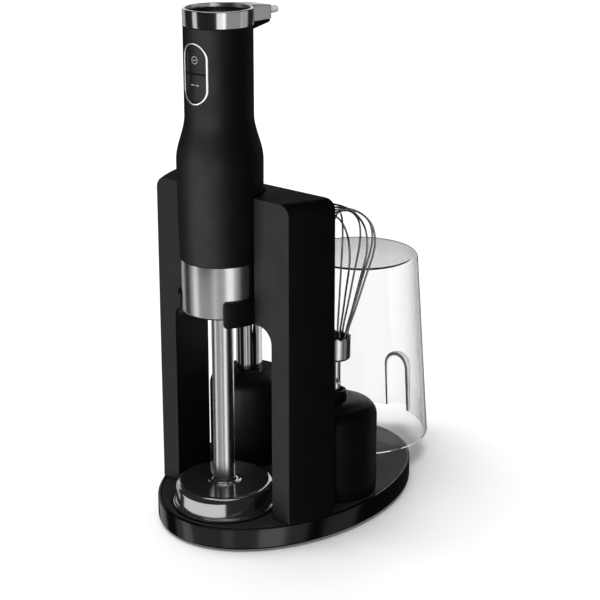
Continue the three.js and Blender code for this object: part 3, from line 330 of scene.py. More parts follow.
# %% Round the corners of a section
def rounded(corners, steps=4, closed=False):
    """The section with an arc at each corner that gives a radius as its third number."""
    result = []
    for i, (u, v, *radius) in enumerate(corners):
        at_end = not closed and i in (0, len(corners) - 1)
        if not radius or at_end:
            result.append((u, v))
            continue
        here = Vector((u, v))
        before = (Vector(corners[i - 1][:2]) - here)
        after = (Vector(corners[(i + 1) % len(corners)][:2]) - here)
        cut = min(radius[0], before.length * 0.49, after.length * 0.49)
        start, end = here + before.normalized() * cut, here + after.normalized() * cut
        for k in range(steps + 1):
            t = k / steps
            result.append(tuple((1 - t) ** 2 * start + 2 * t * (1 - t) * here + t * t * end))
    return result


def full_turn(steps):
    """Even angles round one turn."""
    return [2 * math.pi * k / steps for k in range(steps)]


def circle(radius, height, centre=(0, 0), steps=144):
    """A level circle of points."""
    return [(centre[0] + radius * math.cos(a), centre[1] + radius * math.sin(a), height)
            for a in full_turn(steps)]


def turned(section, centre=(0, 0), steps=144, closed=False, corner_steps=4):
    """A blank turned round a vertical axis."""
    loops = [circle(r, z, centre, steps) for r, z in rounded(section, corner_steps, closed)]
    return blank(*skin(loops, closed))


def arc(centre, radius, start, end, steps):
    """Points of an arc in a section, with its angles in degrees."""
    angles = [math.radians(start + (end - start) * k / steps) for k in range(steps + 1)]
    return [(centre[0] + radius * math.cos(a), centre[1] + radius * math.sin(a)) for a in angles]


# %% [markdown]
# ## Cutting and edging
# Where a form is cut through, such as the tower's window, a Boolean modifier does it as a mould maker does,
# with a solid cutter. A Bevel modifier then rounds the new edges. Both are applied at once, so the mesh that
# is seen is the mesh that is kept.


# %% Cut, join and round with modifiers
WELD = 0.002
FLAT = 0.5
FACE_WEIGHT = 80


def bake(made):
    """Applies the modifiers to the mesh."""
    bpy.context.view_layer.update()
    ready = made.evaluated_get(bpy.context.evaluated_depsgraph_get())
    mesh = bpy.data.meshes.new_from_object(ready)
    made.modifiers.clear()
    made.data = mesh


def combine(made, tool, operation="DIFFERENCE"):
    """Cuts the tool out of the piece, or joins it on, and removes the tool."""
    step = made.modifiers.new("combine", "BOOLEAN")
    step.operation, step.object, step.solver = operation, tool, "EXACT"
    bake(made)
    bpy.data.objects.remove(tool)
    return made


def edge(made, width, chosen=None, steps=3, sharp=32):
    """Rounds the sharp edges by a width in millimetres: all of them, or those whose middle is chosen."""
    form = bmesh.new()
    form.from_mesh(made.data)
    bmesh.ops.remove_doubles(form, verts=form.verts, dist=WELD * MM)
    bmesh.ops.dissolve_limit(form, angle_limit=math.radians(FLAT),
                             verts=form.verts, edges=form.edges)
    weight = form.edges.layers.float.new("bevel_weight_edge")
    for line in form.edges:
        if len(line.link_faces) == 2 and line.calc_face_angle() > math.radians(sharp):
            middle = (line.verts[0].co + line.verts[1].co) / 2 / MM
            line[weight] = 1.0 if chosen is None or chosen(middle) else 0.0
    form.to_mesh(made.data)
    form.free()
    step = made.modifiers.new("edge", "BEVEL")
    step.width, step.segments, step.limit_method = width * MM, steps, "WEIGHT"
    step.use_clamp_overlap = True
    bake(made)
    smooth(made.data, sharp)
    level = made.modifiers.new("level", "WEIGHTED_NORMAL")
    level.keep_sharp, level.weight = True, FACE_WEIGHT
    bake(made)
    return made


# %% [markdown]
# ## Base
# The base is a gloss black tray with an oval rim, a matt deck let into it, and a rubber pad underneath. The
# oval is a true ellipse, so the rim is a section carried round it, each point inset from the edge.

# %% Sizes of the base
base_low, base_high = span("base_tray")
OVAL_X, OVAL_Y = base_high[0], base_high[1]
DECK_TOP = base_high[2]


def oval(inset, height, steps=240):
    """A level oval, this far inside the edge of the base."""
    return [((OVAL_X - inset) * math.cos(a), (OVAL_Y - inset) * math.sin(a), height)
            for a in full_turn(steps)]


def oval_form(section):
    """A blank carried round the oval."""
    return blank(*skin([oval(inset, z) for inset, z in rounded(section, 5)]))


print("base", round(2 * OVAL_X, 1), "by", round(2 * OVAL_Y, 1), "mm, deck at", round(DECK_TOP, 1))

# %% Rim and tray
RIM = 2.6
TRAY_FLOOR = 2.0
LEDGE = 4.0
tray_foot = base_low[2]
tray = oval_form([
    (LEDGE, tray_foot), (0.0, tray_foot, 1.2), (0.0, DECK_TOP, 1.4),
    (RIM, DECK_TOP, 0.6), (RIM, tray_foot + TRAY_FLOOR), (RIM + LEDGE, tray_foot + TRAY_FLOOR),
])
finish_piece(tray, "base_rim_and_tray", gloss_abs, "stand", ["base_tray"])

pad_low, pad_high = span("base_pad")
pad = oval_form([
    (OVAL_X - pad_high[0] + 3, pad_low[2]), (OVAL_X - pad_high[0], pad_low[2], 0.6),
    (OVAL_X - pad_high[0], pad_high[2], 0.4), (OVAL_X - pad_high[0] + 3, pad_high[2]),
])
finish_piece(pad, "base_rubber_pad", rubber, "stand", ["base_pad"])

# %% [markdown]
# ## Deck
# The deck is one moulding with a shallow round seat for the mixing bell and two posts that go up into the
# gearboxes. The seat is cut with a turned tool and the posts are joined on.

# %% Deck with its seat and posts
deck_low, deck_high = span("base_deck")
seat_low, seat_high = span("seat_pad")
SEAT_AIR = 0.3
SEAT_R = reach("seat_pad") + SEAT_AIR
SEAT_FLOOR = seat_low[2] - SEAT_AIR
BEYOND = 5
deck_inset = OVAL_X - deck_high[0]
deck = oval_form([(deck_inset + 3, deck_low[2]), (deck_inset, deck_low[2]),
                  (deck_inset, DECK_TOP, 0.7), (deck_inset + 3, DECK_TOP)])
combine(deck, turned([(SEAT_R, SEAT_FLOOR), (SEAT_R, DECK_TOP + BEYOND)], MIXER))
edge(deck, 0.4, lambda p: p.z > DECK_TOP - 0.1 and (p - Vector((*MIXER, p.z))).length < SEAT_R + 1)
POST_R = 7.0
for unit in ("whisk", "masher"):
    post = turned([(1, DECK_TOP - 1), (POST_R, DECK_TOP - 1), (POST_R, deck_high[2], 0.8),
                   (1, deck_high[2])], axis(unit + "_gearbox_shell"), 48)
    combine(deck, post, "UNION")
smooth(deck.data)
finish_piece(deck, "base_matt_deck", deck_abs, "stand", ["base_deck"])

seat = turned([(2, seat_low[2]), (SEAT_R - SEAT_AIR, seat_low[2]),
               (SEAT_R - SEAT_AIR, seat_high[2], 0.3), (2, seat_high[2])], MIXER)
finish_piece(seat, "bell_seat_pad", rubber, "stand", ["seat_pad"])

# %% [markdown]
# ## Tower
# The tower is one hollow moulding. Its front and back are flat, and its sides follow the oval of the base,
# so it widens towards the back. It is drawn as upright outlines from front to back. The window and the slot
# for the mixer are cut through it, and then the front edges get the soft radius of a moulding.

# %% Outlines of the tower
tower_low, tower_high = span("tower_shell")
cover_low, cover_high = span("tower_back_cover")
TOWER_FRONT, TOWER_TOP = tower_low[1], tower_high[2]
TOWER_CORNER = 9.0
TOWER_INSET = 0.4
CORNER_STEPS = 10


def upright_arch(half, low, high, corner, y, steps=CORNER_STEPS):
    """A flat-footed outline with two round upper corners, standing at a distance y."""
    right = arc((half - corner, high - corner), corner, 0, 90, steps)
    left = arc((corner - half, high - corner), corner, 90, 180, steps)
    return [(x, y, z) for x, z in [(-half, low), (half, low), *right, *left]]


def tower_block(front, back, stations):
    """A slice of the tower whose sides follow the oval."""
    loops = []
    for i in range(stations + 1):
        y = front + (back - front) * i / stations
        half = OVAL_X * math.sqrt(1 - (y / OVAL_Y) ** 2) - TOWER_INSET
        loops.append(upright_arch(half, tower_low[2], TOWER_TOP, TOWER_CORNER, y))
    return blank(*skin(loops))


print("tower", round(TOWER_TOP - tower_low[2], 1), "mm tall, front face at", round(TOWER_FRONT, 1))

# %% Cut the window and the slot
clip_low, clip_high = span("leg_clip")
WINDOW_HALF = 50.8
WINDOW_TOP = clip_low[2] - 0.3
WINDOW_CORNER = 13.0
SLOT_R = 33.8
TOOL_OVER = 20
TOWER_EDGE = 2.2
COVER_EDGE = 0.9


def window_tool():
    """Cutter for the window, from well before the tower to well behind it."""
    ends = (TOWER_FRONT - TOOL_OVER, cover_high[1] + TOOL_OVER)
    foot = DECK_TOP - TOOL_OVER / 2
    return blank(*skin([upright_arch(WINDOW_HALF, foot, WINDOW_TOP, WINDOW_CORNER, y, 14)
                        for y in ends]))


def slot_tool():
    """Cutter for the slot: half round behind the mixer's axis and straight ahead of it."""
    round_part = arc(MIXER, SLOT_R, 0, 180, 72)
    mouth = MIXER[1] - TOOL_OVER
    outline = [(SLOT_R, mouth), *round_part, (-SLOT_R, mouth)]
    heights = (WINDOW_TOP - 2.5, TOWER_TOP + TOOL_OVER / 2)
    return blank(*skin([[(x, y, z) for x, y in outline] for z in heights]))


shell = tower_block(TOWER_FRONT, tower_high[1], 6)
combine(shell, window_tool())
combine(shell, slot_tool())


def at_front(p):
    """True on the edges of the front face."""
    return p.y < TOWER_FRONT + 0.2


edge(shell, TOWER_EDGE, at_front, 5)
finish_piece(shell, "tower_front_shell", matt_abs, "stand", ["tower_shell"])

cover = tower_block(cover_low[1], cover_high[1], 1)
combine(cover, window_tool())
edge(cover, COVER_EDGE, lambda p: p.y > cover_high[1] - 0.1, 4)
finish_piece(cover, "tower_rear_cover", matt_abs, "stand", ["tower_back_cover"])

# %% [markdown]
# ## Clip
# An open ring grips the leg's collar. It is a flat strap bent round the collar, with rounded ends, so it is
# drawn as upright slices round the axis. Towards each end the slices get shorter, which rounds the corners.

# %% Clip round the collar
CLIP_WALL = 2.5
clip_r = reach("leg_clip")
CLIP_END_ROUND = 3.2
CLIP_START = math.radians(-45)
CLIP_SWEEP = math.radians(270)
END_STEPS = 8
SWEEP_STEPS = 120


def strap_slice(angle, radius, wall, low, high, soft=0.7):
    """An upright slice of a curved strap."""
    corners = [(radius - wall, low), (radius, low), (radius, high), (radius - wall, high)]
    section = rounded([(r, z, soft) for r, z in corners], 3, True)
    return [(MIXER[0] + r * math.cos(angle), MIXER[1] + r * math.sin(angle), z) for r, z in section]


turn_at_end = CLIP_END_ROUND / clip_r
end_slices = []
for k in range(END_STEPS + 1):
    quarter = k / END_STEPS * math.pi / 2
    end_slices.append((turn_at_end * (1 - math.cos(quarter)), CLIP_END_ROUND * (1 - math.sin(quarter))))
angles = [(CLIP_START + turn, drop) for turn, drop in end_slices]
for k in range(1, SWEEP_STEPS):
    angles.append((CLIP_START + turn_at_end + (CLIP_SWEEP - 2 * turn_at_end) * k / SWEEP_STEPS, 0))
angles += [(CLIP_START + CLIP_SWEEP - turn, drop) for turn, drop in reversed(end_slices)]
clip_loops = [strap_slice(a, clip_r, CLIP_WALL, clip_low[2] + drop, clip_high[2] - drop)
              for a, drop in angles]
clip = blank(*skin(clip_loops))
finish_piece(clip, "collar_clip", matt_abs, "stand", ["leg_clip"])

# %% [markdown]
# ## Mixing bell, tube and collar
# The leg is pressed and drawn steel. The bell has a flat top that mirrors the tube, a rounded shoulder and
# a lip that stands in the seat. A small flare joins the tube to it. Each is a turned section, and the edge
# radii decide where the bright lines fall.

# %% Bell
bell_low, bell_high = span("blade_bell")
tube_low, tube_high = span("leg_tube")
LIP_R = reach("blade_bell")
LIP_H = 3.7
BELL_R = 38.6
SHOULDER = 4.6
BELL_WALL = 1.5
TUBE_AIR = 0.3
FLARE_R = 12.7
FLARE_H = 3.4
tube_r = reach("leg_tube")
bell_top = bell_high[2] - FLARE_H
hole = tube_r + TUBE_AIR
shoulder = arc((BELL_R - SHOULDER, bell_top - SHOULDER), SHOULDER, 0, 86, 12)
bell = turned([
    (BELL_R - BELL_WALL, bell_low[2], 0.3),
    (LIP_R, bell_low[2], 0.8), (LIP_R, bell_low[2] + LIP_H, 1.0), (BELL_R, bell_low[2] + LIP_H, 0.8),
    *shoulder, (BELL_R - SHOULDER - 0.9, bell_top, 0.3),
    (FLARE_R + 0.6, bell_top, 0.4), (FLARE_R - 0.3, bell_top + 0.9, 0.6), (hole + 1.6, bell_top + 1.5, 1.2),
    (hole + 0.5, bell_high[2], 0.3), (hole, bell_high[2]), (hole, bell_top - BELL_WALL),
    (BELL_R - SHOULDER, bell_top - BELL_WALL, 2.4), (BELL_R - BELL_WALL, bell_top - SHOULDER, 1.0),
], MIXER, 192, True)
finish_piece(bell, "mixing_bell", bell_steel, "leg", ["blade_bell"])

# %% Tube and collar
TUBE_WALL = 1.2
leg_tube = turned([(tube_r - TUBE_WALL, tube_low[2]), (tube_r, tube_low[2]), (tube_r, tube_high[2]),
                   (tube_r - TUBE_WALL, tube_high[2])], MIXER, 96, True)
finish_piece(leg_tube, "mixing_leg_tube", polished_steel, "leg", ["leg_tube"])

collar_low, collar_high = span("leg_collar")
COLLAR_WALL = 1.6
COLLAR_FLOOR = 3
COLLAR_FOOT_ROUND = 1.3
collar_r = reach("leg_collar")
inner_r = collar_r - COLLAR_WALL
collar = turned([
    (hole, collar_low[2]), (collar_r - COLLAR_FOOT_ROUND, collar_low[2], 0.4),
    (collar_r, collar_low[2] + COLLAR_FOOT_ROUND, 0.6), (collar_r, collar_high[2], 0.3),
    (inner_r, collar_high[2], 0.3), (inner_r, collar_low[2] + COLLAR_FLOOR),
    (hole, collar_low[2] + COLLAR_FLOOR),
], MIXER, 192, True)
finish_piece(collar, "leg_steel_collar", polished_steel, "leg", ["leg_collar"])

# %% [markdown]
# ## Motor casing
# The casing is slightly barrelled at the foot, then draws in through a smooth shoulder to the neck that the
# hand holds. The shoulder is an S-curve with level ends. A pill-shaped opening in the front of the neck
# takes the keys.

# %% Profile of the casing
casing_low, casing_high = span("motor_casing")
BODY_H = 176.7
body_foot = casing_high[2] - BODY_H
FOOT_R = 31.4
BODY_R = 32.7
NECK_R = 25.9
SHOULDER_LOW = 76.5
SHOULDER_HIGH = 109.9
CASING_WALL = 2.4
SPIGOT_AIR = 0.5


def body_radius(height):
    """Outside radius of the casing, at a height above its foot."""
    if height <= SHOULDER_LOW:
        return FOOT_R + (BODY_R - FOOT_R) * math.sin(height / SHOULDER_LOW * math.pi / 2)
    t = min((height - SHOULDER_LOW) / (SHOULDER_HIGH - SHOULDER_LOW), 1)
    return BODY_R + (NECK_R - BODY_R) * t * t * (3 - 2 * t)


levels = [2 + (BODY_H - 3) * k / 70 for k in range(71)]
side = [(body_radius(h), body_foot + h) for h in levels]
spigot_r = collar_r - COLLAR_WALL - SPIGOT_AIR
casing = turned([
    (spigot_r - CASING_WALL, casing_low[2]), (spigot_r, casing_low[2]), (spigot_r, body_foot + 0.01),
    (FOOT_R, body_foot, 0.5), *side, (NECK_R, body_foot + BODY_H, 0.4),
    (NECK_R - CASING_WALL, body_foot + BODY_H), (NECK_R - CASING_WALL, body_foot + SHOULDER_HIGH),
    (FOOT_R - CASING_WALL, body_foot + SHOULDER_LOW), (FOOT_R - CASING_WALL, body_foot + CASING_WALL),
    (spigot_r - CASING_WALL, body_foot + CASING_WALL),
], MIXER, 160, True)
print("casing", round(BODY_H, 1), "mm tall, neck", round(2 * NECK_R, 1), "mm across")

# %% [markdown]
# ## Key panel
# A chrome bezel lines the opening, and two keys share it, one above the other. All of them follow the
# neck's curve. A point of the panel is given by its place across and up, and by its radius from the axis of
# the mixer, and one function bends it on to the neck.

# %% Bend the panel on to the neck
bezel_low, bezel_high = span("key_bezel")
PANEL_HALF = bezel_high[0]
PANEL_FOOT, PANEL_HEAD = bezel_low[2], bezel_high[2]
PANEL_AIR = 0.3


def on_neck(x, z, radius):
    """The point of a cylinder round the mixer's axis that lies behind this place on the front."""
    return (MIXER[0] + x, MIXER[1] - math.sqrt(radius ** 2 - x ** 2), z)


def pill(half, low, high, steps=24):
    """An upright outline with half-round ends, as places across and up."""
    top = arc((0, high - half), half, 0, 180, steps)
    foot = arc((0, low + half), half, 180, 360, steps)
    sides = 10
    left = [(-half, high - half - (high - low - 2 * half) * k / sides) for k in range(1, sides)]
    right = [(half, low + half + (high - low - 2 * half) * k / sides) for k in range(1, sides)]
    return [*top, *left, *foot, *right]


opening = [pill(PANEL_HALF + PANEL_AIR, PANEL_FOOT - PANEL_AIR, PANEL_HEAD + PANEL_AIR)] * 2
depths = (MIXER[1] - NECK_R - 6, MIXER[1] - NECK_R / 2)
combine(casing, blank(*skin([[(x, y, z) for x, z in line] for line, y in zip(opening, depths)])))
smooth(casing.data, 30)
finish_piece(casing, "motor_casing_shell", soft_touch, "motor_unit", ["motor_casing"])

# %% Bezel
BEZEL_W = 1.6
BEZEL_DEPTH = 4.8
bezel_r = NECK_R + 0.7
bezel_section = rounded([(0, BEZEL_DEPTH), (0, 0, 0.7), (BEZEL_W, 0, 0.7), (BEZEL_W, BEZEL_DEPTH)], 5, True)
bezel_loops = []
for width, depth in bezel_section:
    inset = BEZEL_W - width
    line = pill(PANEL_HALF - inset, PANEL_FOOT + inset, PANEL_HEAD - inset)
    bezel_loops.append([on_neck(x, z, bezel_r - depth) for x, z in line])
bezel = blank(*skin(bezel_loops, True))
finish_piece(bezel, "key_panel_bezel", satin_chrome, "motor_unit", ["key_bezel"])

# %% Keys
KEY_T = 2.6
key_low, key_high = span("power_key")
key_half = key_high[0]
key_r = MIXER[1] - key_low[1]
KEY_EDGE = 0.45
KEY_SPLIT = 0.2


def key_outline(low, high, upper):
    """Half of a pill: a flat side towards the middle and a round end away from it."""
    end = arc((0, high - key_half), key_half, 0, 180, 36)
    foot = [(-key_half + 2 * key_half * k / 16, low) for k in range(17)]
    line = [*end, *foot]
    if upper:
        return line
    return [(x, low + high - z) for x, z in line]


def key_form(low, high, upper):
    """A key: its face is level with the neck's curve and its edge is rounded."""
    line = key_outline(low, high, upper)
    middle = (0, (low + high) / 2)
    steps = [(1, KEY_T), (1, KEY_EDGE), (0.985, 0.25), (0.95, 0.04), (0.9, 0), (0.6, 0), (0.3, 0),
             (0.02, 0)]
    loops = []
    for share, depth in steps:
        places = [(middle[0] + share * (x - middle[0]), middle[1] + share * (z - middle[1]))
                  for x, z in line]
        loops.append([on_neck(x, z, key_r - depth) for x, z in places])
    return blank(*skin(loops))


for name, upper in (("power_key", True), ("turbo_key", False)):
    low, high = span(name)
    key = key_form(low[2] - KEY_SPLIT * upper, high[2] + KEY_SPLIT * (not upper), upper)
    finish_piece(key, name + "_cap", matt_abs, name, [name])

# %% [markdown]
# ## Marks on the keys
# The printed marks are generic: a ring with a short bar in it on the upper key, and a plain bar on the
# lower one. Ink has a thickness, so each is a very thin raised form that follows the key.

# %% Ring and bar marks
INK = 0.06
INK_ROOT = -0.02
MARK_R = 2.9
MARK_LINE = 0.5
power_low, power_high = span("power_key")
mark_z = power_low[2] + (power_high[2] - power_low[2]) * 0.47


def printed(outline_loops, name, body):
    """A thin form whose loops are places on the key and heights above its face."""
    loops = [[on_neck(x, z, key_r + height) for x, z in line] for line, height in outline_loops]
    return finish_piece(blank(*skin(loops, True)), name, marking_ink, body)


def ring_line(radius):
    """A circle of places round the mark's middle."""
    return [(radius * math.cos(a / 32 * math.pi), mark_z + radius * math.sin(a / 32 * math.pi))
            for a in range(64)]


printed([(ring_line(MARK_R - MARK_LINE), INK_ROOT), (ring_line(MARK_R - MARK_LINE), INK),
         (ring_line(MARK_R), INK), (ring_line(MARK_R), INK_ROOT)], "mark_ring", "power_key")


def bar_form(half, tall, z, height):
    """Four loops of a small bar, from its foot on the key to its top and back, for a closed skin."""
    def line(x, t):
        return [(-x, z - t), (x, z - t), (x, z + t), (-x, z + t)]
    return [(line(half, tall), INK_ROOT), (line(half, tall), height),
            (line(half * 0.02, tall * 0.02), height), (line(half * 0.02, tall * 0.02), INK_ROOT)]


printed(bar_form(1.5, 0.25, mark_z, INK), "mark_ring_bar", "power_key")
turbo_low, turbo_high = span("turbo_key")
bar_z = turbo_low[2] + (turbo_high[2] - turbo_low[2]) * 0.62
printed(bar_form(3.6, 0.55, bar_z, INK), "mark_turbo_bar", "turbo_key")

# %% [markdown]
# ## Top ring and spur
# A chromed ring closes the neck and reaches back as a flat spur that holds the cord. Seen from above the
# outline is a circle, two hollow curves and a square end. The ring is bright, and the spur turns satin, so
# its roughness grows with the distance behind the neck.

# %% Outline of the ring
ring_low, ring_high = span("top_ring")
RING_R = -(ring_low[1] - MIXER[1])
SPUR_END = ring_high[1] - MIXER[1]
SPUR_HALF = 11.5
SPUR_BLEND = 7.0
RING_WALL = 2.2
RING_FLOOR = 2.0
SPUR_SLOPE = 0.1


def ring_outline(inset):
    """The ring seen from above, with its edge drawn in by an inset."""
    half, blend, ring_r = SPUR_HALF - inset, SPUR_BLEND + inset, RING_R - inset
    far = SPUR_END - inset
    blend_y = math.sqrt((ring_r + blend) ** 2 - (half + blend) ** 2)
    turn = math.degrees(math.atan2(blend_y, half + blend))
    corner = 2.2 - min(inset, 1.5)
    right_in = arc((half + blend, blend_y), blend, 180 + turn, 180, 16)
    right_end = arc((half - corner, far - corner), corner, 0, 90, 8)
    left_end = arc((corner - half, far - corner), corner, 90, 180, 8)
    left_in = arc((-half - blend, blend_y), blend, 0, -turn, 16)
    round_part = arc((0, 0), ring_r, 180 - turn, 360 + turn, 150)[1:-1]
    run = [blend_y + (far - corner - blend_y) * k / 8 for k in range(1, 8)]
    top = [(half - corner) * (1 - k / 4) for k in range(1, 8)]
    return [*right_in, *[(half, y) for y in run], *right_end, *[(x, far) for x in top],
            *left_end, *[(-half, y) for y in reversed(run)], *left_in, *round_part]


def ring_loop(points, z, slope):
    """The outline at a height, sinking towards the end of the spur."""
    return [(MIXER[0] + x, MIXER[1] + y, z - slope * max(y - NECK_R, 0) * SPUR_SLOPE) for x, y in points]


# %% Ring with its bore
ring_top, ring_foot = ring_high[2], ring_low[2]
outer = ring_outline(0)
BORE_R = RING_R - RING_WALL
ROUND = 0.7
FOOT_ROUND = 0.3
CENTRE_R = 3.5


def bore(radius):
    """A circle whose points lie at the angles of the outline's points."""
    result = []
    for x, y in outer:
        length = math.hypot(x, y)
        result.append((x / length * radius, y / length * radius))
    return result


ring_loops = [ring_loop(bore(CENTRE_R), ring_foot, 0), ring_loop(ring_outline(0.6), ring_foot, 0)]
for k in range(5):
    turn = k / 4 * math.pi / 2
    ring_loops.append(ring_loop(ring_outline(FOOT_ROUND * (1 - math.sin(turn))),
                                ring_foot + FOOT_ROUND * (1 - math.cos(turn)), 0))
for k in range(6):
    turn = k / 5 * math.pi / 2
    ring_loops.append(ring_loop(ring_outline(ROUND * (1 - math.cos(turn))),
                                ring_top - ROUND * (1 - math.sin(turn)), 1))
ring_loops += [ring_loop(bore(BORE_R + 0.4), ring_top, 1),
               ring_loop(bore(BORE_R + 0.1), ring_top - 0.12, 1),
               ring_loop(bore(BORE_R), ring_top - 0.45, 0),
               ring_loop(bore(BORE_R), ring_foot + RING_FLOOR, 0),
               ring_loop(bore(CENTRE_R), ring_foot + RING_FLOOR, 0)]
top_ring = blank(*skin(ring_loops, True))


SATIN_FROM, SATIN_TO = 8, 22
BRIGHT, SATIN = 0.14, 0.38


def chrome_to_satin():
    """Bright chrome that turns satin behind the neck."""
    material = surface("chrome_ring_with_satin_spur", "#cfd0d2", 0.05, 2.5, 0.006, stretch=(1, 0.25, 3.0),
                       tint="#dadbdd", Metallic=1.0)
    tree = material.node_tree
    shader = next(n for n in tree.nodes if n.type == "BSDF_PRINCIPLED")
    place = next(n for n in tree.nodes if n.type == "TEX_COORD")
    parts = add_node(tree, "ShaderNodeSeparateXYZ", {0: place.outputs["Object"]})
    dull = add_node(tree, "ShaderNodeMapRange",
                    {"Value": parts.outputs["Y"], "From Min": (MIXER[1] + SATIN_FROM) * MM,
                     "From Max": (MIXER[1] + SATIN_TO) * MM, "To Min": BRIGHT, "To Max": SATIN})
    tree.links.new(dull.outputs[0], shader.inputs["Roughness"])
    return material


ring_finish = chrome_to_satin()
finish_piece(top_ring, "top_ring_and_spur", ring_finish, "motor_unit", ["top_ring"])

# %% [markdown]
# ## Speed dial
# The dial lies inside the ring: a gloss black disc with a shallow dish for the thumb and fine ridges round
# its edge. The ridges are a ripple of the radius, and the dish is part of the turned section.

# %% Dial
dial_low, dial_high = span("speed_dial")
DIAL_AIR = 0.5
dial_r = BORE_R - DIAL_AIR
DIAL_H = 6.5
RIDGES = 24
RIDGE = 0.6


def ridged(radius, z, depth, steps=288):
    """A circle with the dial's ridges in it."""
    result = []
    for a in full_turn(steps):
        wave = 0.5 - 0.5 * math.cos(a * RIDGES)
        r = radius - depth * RIDGE * min(1, wave * 1.6)
        result.append((MIXER[0] + r * math.cos(a), MIXER[1] + r * math.sin(a), z))
    return result


dial_top = dial_high[2]
dish = [(dial_r - 1.9, 0.0), (dial_r - 2.3, 0.06), (dial_r - 2.8, 0.3)]
dish += [(dial_r - 2.8 - 5.0 * k / 8, 0.3 + 0.9 * math.sin(k / 8 * math.pi / 2)) for k in range(1, 9)]
dish += [(9.0, 1.2), (3.0, 1.2)]
dial_loops = [ridged(3.0, dial_low[2], 0), ridged(3.0, dial_top - DIAL_H, 0),
              ridged(dial_r - 0.3, dial_top - DIAL_H, 1), ridged(dial_r, dial_top - DIAL_H + 0.4, 1),
              ridged(dial_r, dial_top - 0.7, 1), ridged(dial_r - 0.25, dial_top - 0.2, 0.6),
              ridged(dial_r - 0.8, dial_top, 0)]
dial_loops += [ridged(r, dial_top - sink, 0) for r, sink in dish]
dial = blank(*skin(dial_loops))
finish_piece(dial, "speed_dial_disc", gloss_abs, "speed_dial", ["speed_dial"])

# %% [markdown]
# ## Wedge and cord gland
# Under the spur a black wedge carries the cord's way into the neck, and a light grey gland stands out of
# the spur's end. The wedge is drawn as slices from the neck to its end, and the gland as a turned nub with
# a rounded tip.

# %% Wedge
wedge_high = span("spur_underside")[1]
wedge_half = wedge_high[0]
wedge_top = wedge_high[2]
wedge_end = wedge_high[1] - MIXER[1]
WEDGE_DEEP = 6.0
WEDGE_THIN = 2.3
WEDGE_START = 14
WEDGE_STEPS = 12
wedge_loops = []
for k in range(WEDGE_STEPS + 1):
    y = WEDGE_START + (wedge_end - WEDGE_START) * (k / WEDGE_STEPS)
    deep = WEDGE_DEEP
    if y >= NECK_R:
        deep += (WEDGE_THIN - WEDGE_DEEP) * (y - NECK_R) / (wedge_end - NECK_R)
    half = wedge_half if k < WEDGE_STEPS else wedge_half - 0.6
    section = rounded([(-half, wedge_top - deep, 1.4), (half, wedge_top - deep, 1.4),
                       (half, wedge_top, 0.3), (-half, wedge_top, 0.3)], 4, True)
    wedge_loops.append([(MIXER[0] + x, MIXER[1] + y, z) for x, z in section])
wedge = blank(*skin(wedge_loops))
neck_tool = turned([(NECK_R + 0.3, wedge_top - 20), (NECK_R + 0.3, wedge_top + 5)], MIXER, 160)
combine(wedge, neck_tool)
smooth(wedge.data)
finish_piece(wedge, "spur_wedge", matt_abs, "motor_unit", ["spur_underside"])

# %% Gland
gland_low, gland_high = span("cord_gland")
gland_z = (gland_low[2] + gland_high[2]) / 2
gland_r = (gland_high[2] - gland_low[2]) / 2
gland_l = gland_high[1] - gland_low[1]
nub = rounded([(0.3, 0), (gland_r, 0, 0.3), (gland_r, gland_l * 0.3), (gland_r, gland_l, gland_r * 0.8),
               (0.3, gland_l)], 8)
gland_loops = []
for r, along in nub:
    gland_loops.append([(MIXER[0] + r * math.cos(a), gland_low[1] + along, gland_z + r * math.sin(a))
                        for a in full_turn(48)])
gland = blank(*skin(gland_loops))
finish_piece(gland, "cord_gland_nub", grey_nylon, "motor_unit", ["cord_gland"])

# %% [markdown]
# ## Gearboxes
# Each attachment stands on its own gearbox: a matt drum with a softly domed end, closed underneath by
# a cover. The dome is what catches the light, so its curve is drawn as one long arc that runs into the side.

# %% Gearbox shells and covers
GEARBOX_WALL = 2.5
GEARBOX_ROUND = 11.0
GEARBOX_DOME = 3.0
GEARBOX_ROOF = 8
SHAFT_ROOM = 9
COVER_H = 5
COVER_BORE = 8.5


def gearbox(unit, hub_r, bore_r, dome_top):
    """The shell and the cover of one gearbox."""
    name = unit + "_gearbox"
    centre, radius = axis(name + "_shell"), reach(name + "_shell")
    low, high = span(name + "_shell")
    bend = (radius - GEARBOX_ROUND, dome_top - GEARBOX_DOME - GEARBOX_ROUND)
    inside = radius - GEARBOX_WALL
    round_part = arc(bend, GEARBOX_ROUND, 0, 78, 14)
    last = round_part[-1]
    crown = [(last[0] + (hub_r + 4 - last[0]) * t,
              last[1] + (dome_top - last[1]) * math.sin(t * math.pi / 2))
             for t in (0.2, 0.4, 0.6, 0.8, 1.0)]
    hub = [(hub_r + 0.8, dome_top, 0.6), (hub_r, high[2], 0.8), (bore_r, high[2], 0.4)]
    if high[2] - dome_top < 1:
        hub = [(hub_r, high[2], 0.2), (bore_r, high[2], 0.2)]
    section = [(inside, low[2]), (radius, low[2], 0.5), *round_part, *crown, *hub,
               (bore_r, dome_top - GEARBOX_ROOF), (inside - SHAFT_ROOM, dome_top - GEARBOX_ROOF),
               (inside, bend[1])]
    shell_piece = turned(section, centre, 144, True)
    finish_piece(shell_piece, name + "_drum", matt_abs, unit + "_unit", [name + "_shell"])
    low, high = span(name + "_cover")
    foot = turned([(COVER_BORE, low[2]), (radius, low[2], 1.0), (radius, low[2] + COVER_H, 0.4),
                   (COVER_BORE, low[2] + COVER_H)], centre, 144, True)
    finish_piece(foot, name + "_foot_cover", matt_abs, unit + "_unit", [name + "_cover"])


GEARBOX_AIR = 0.3
DRUM_H = 77.0
shell_top = DECK_TOP + GEARBOX_AIR + DRUM_H
gearbox("whisk", 8.5, 6.5, shell_top)
gearbox("masher", reach("masher_tube"), 5.6, shell_top)

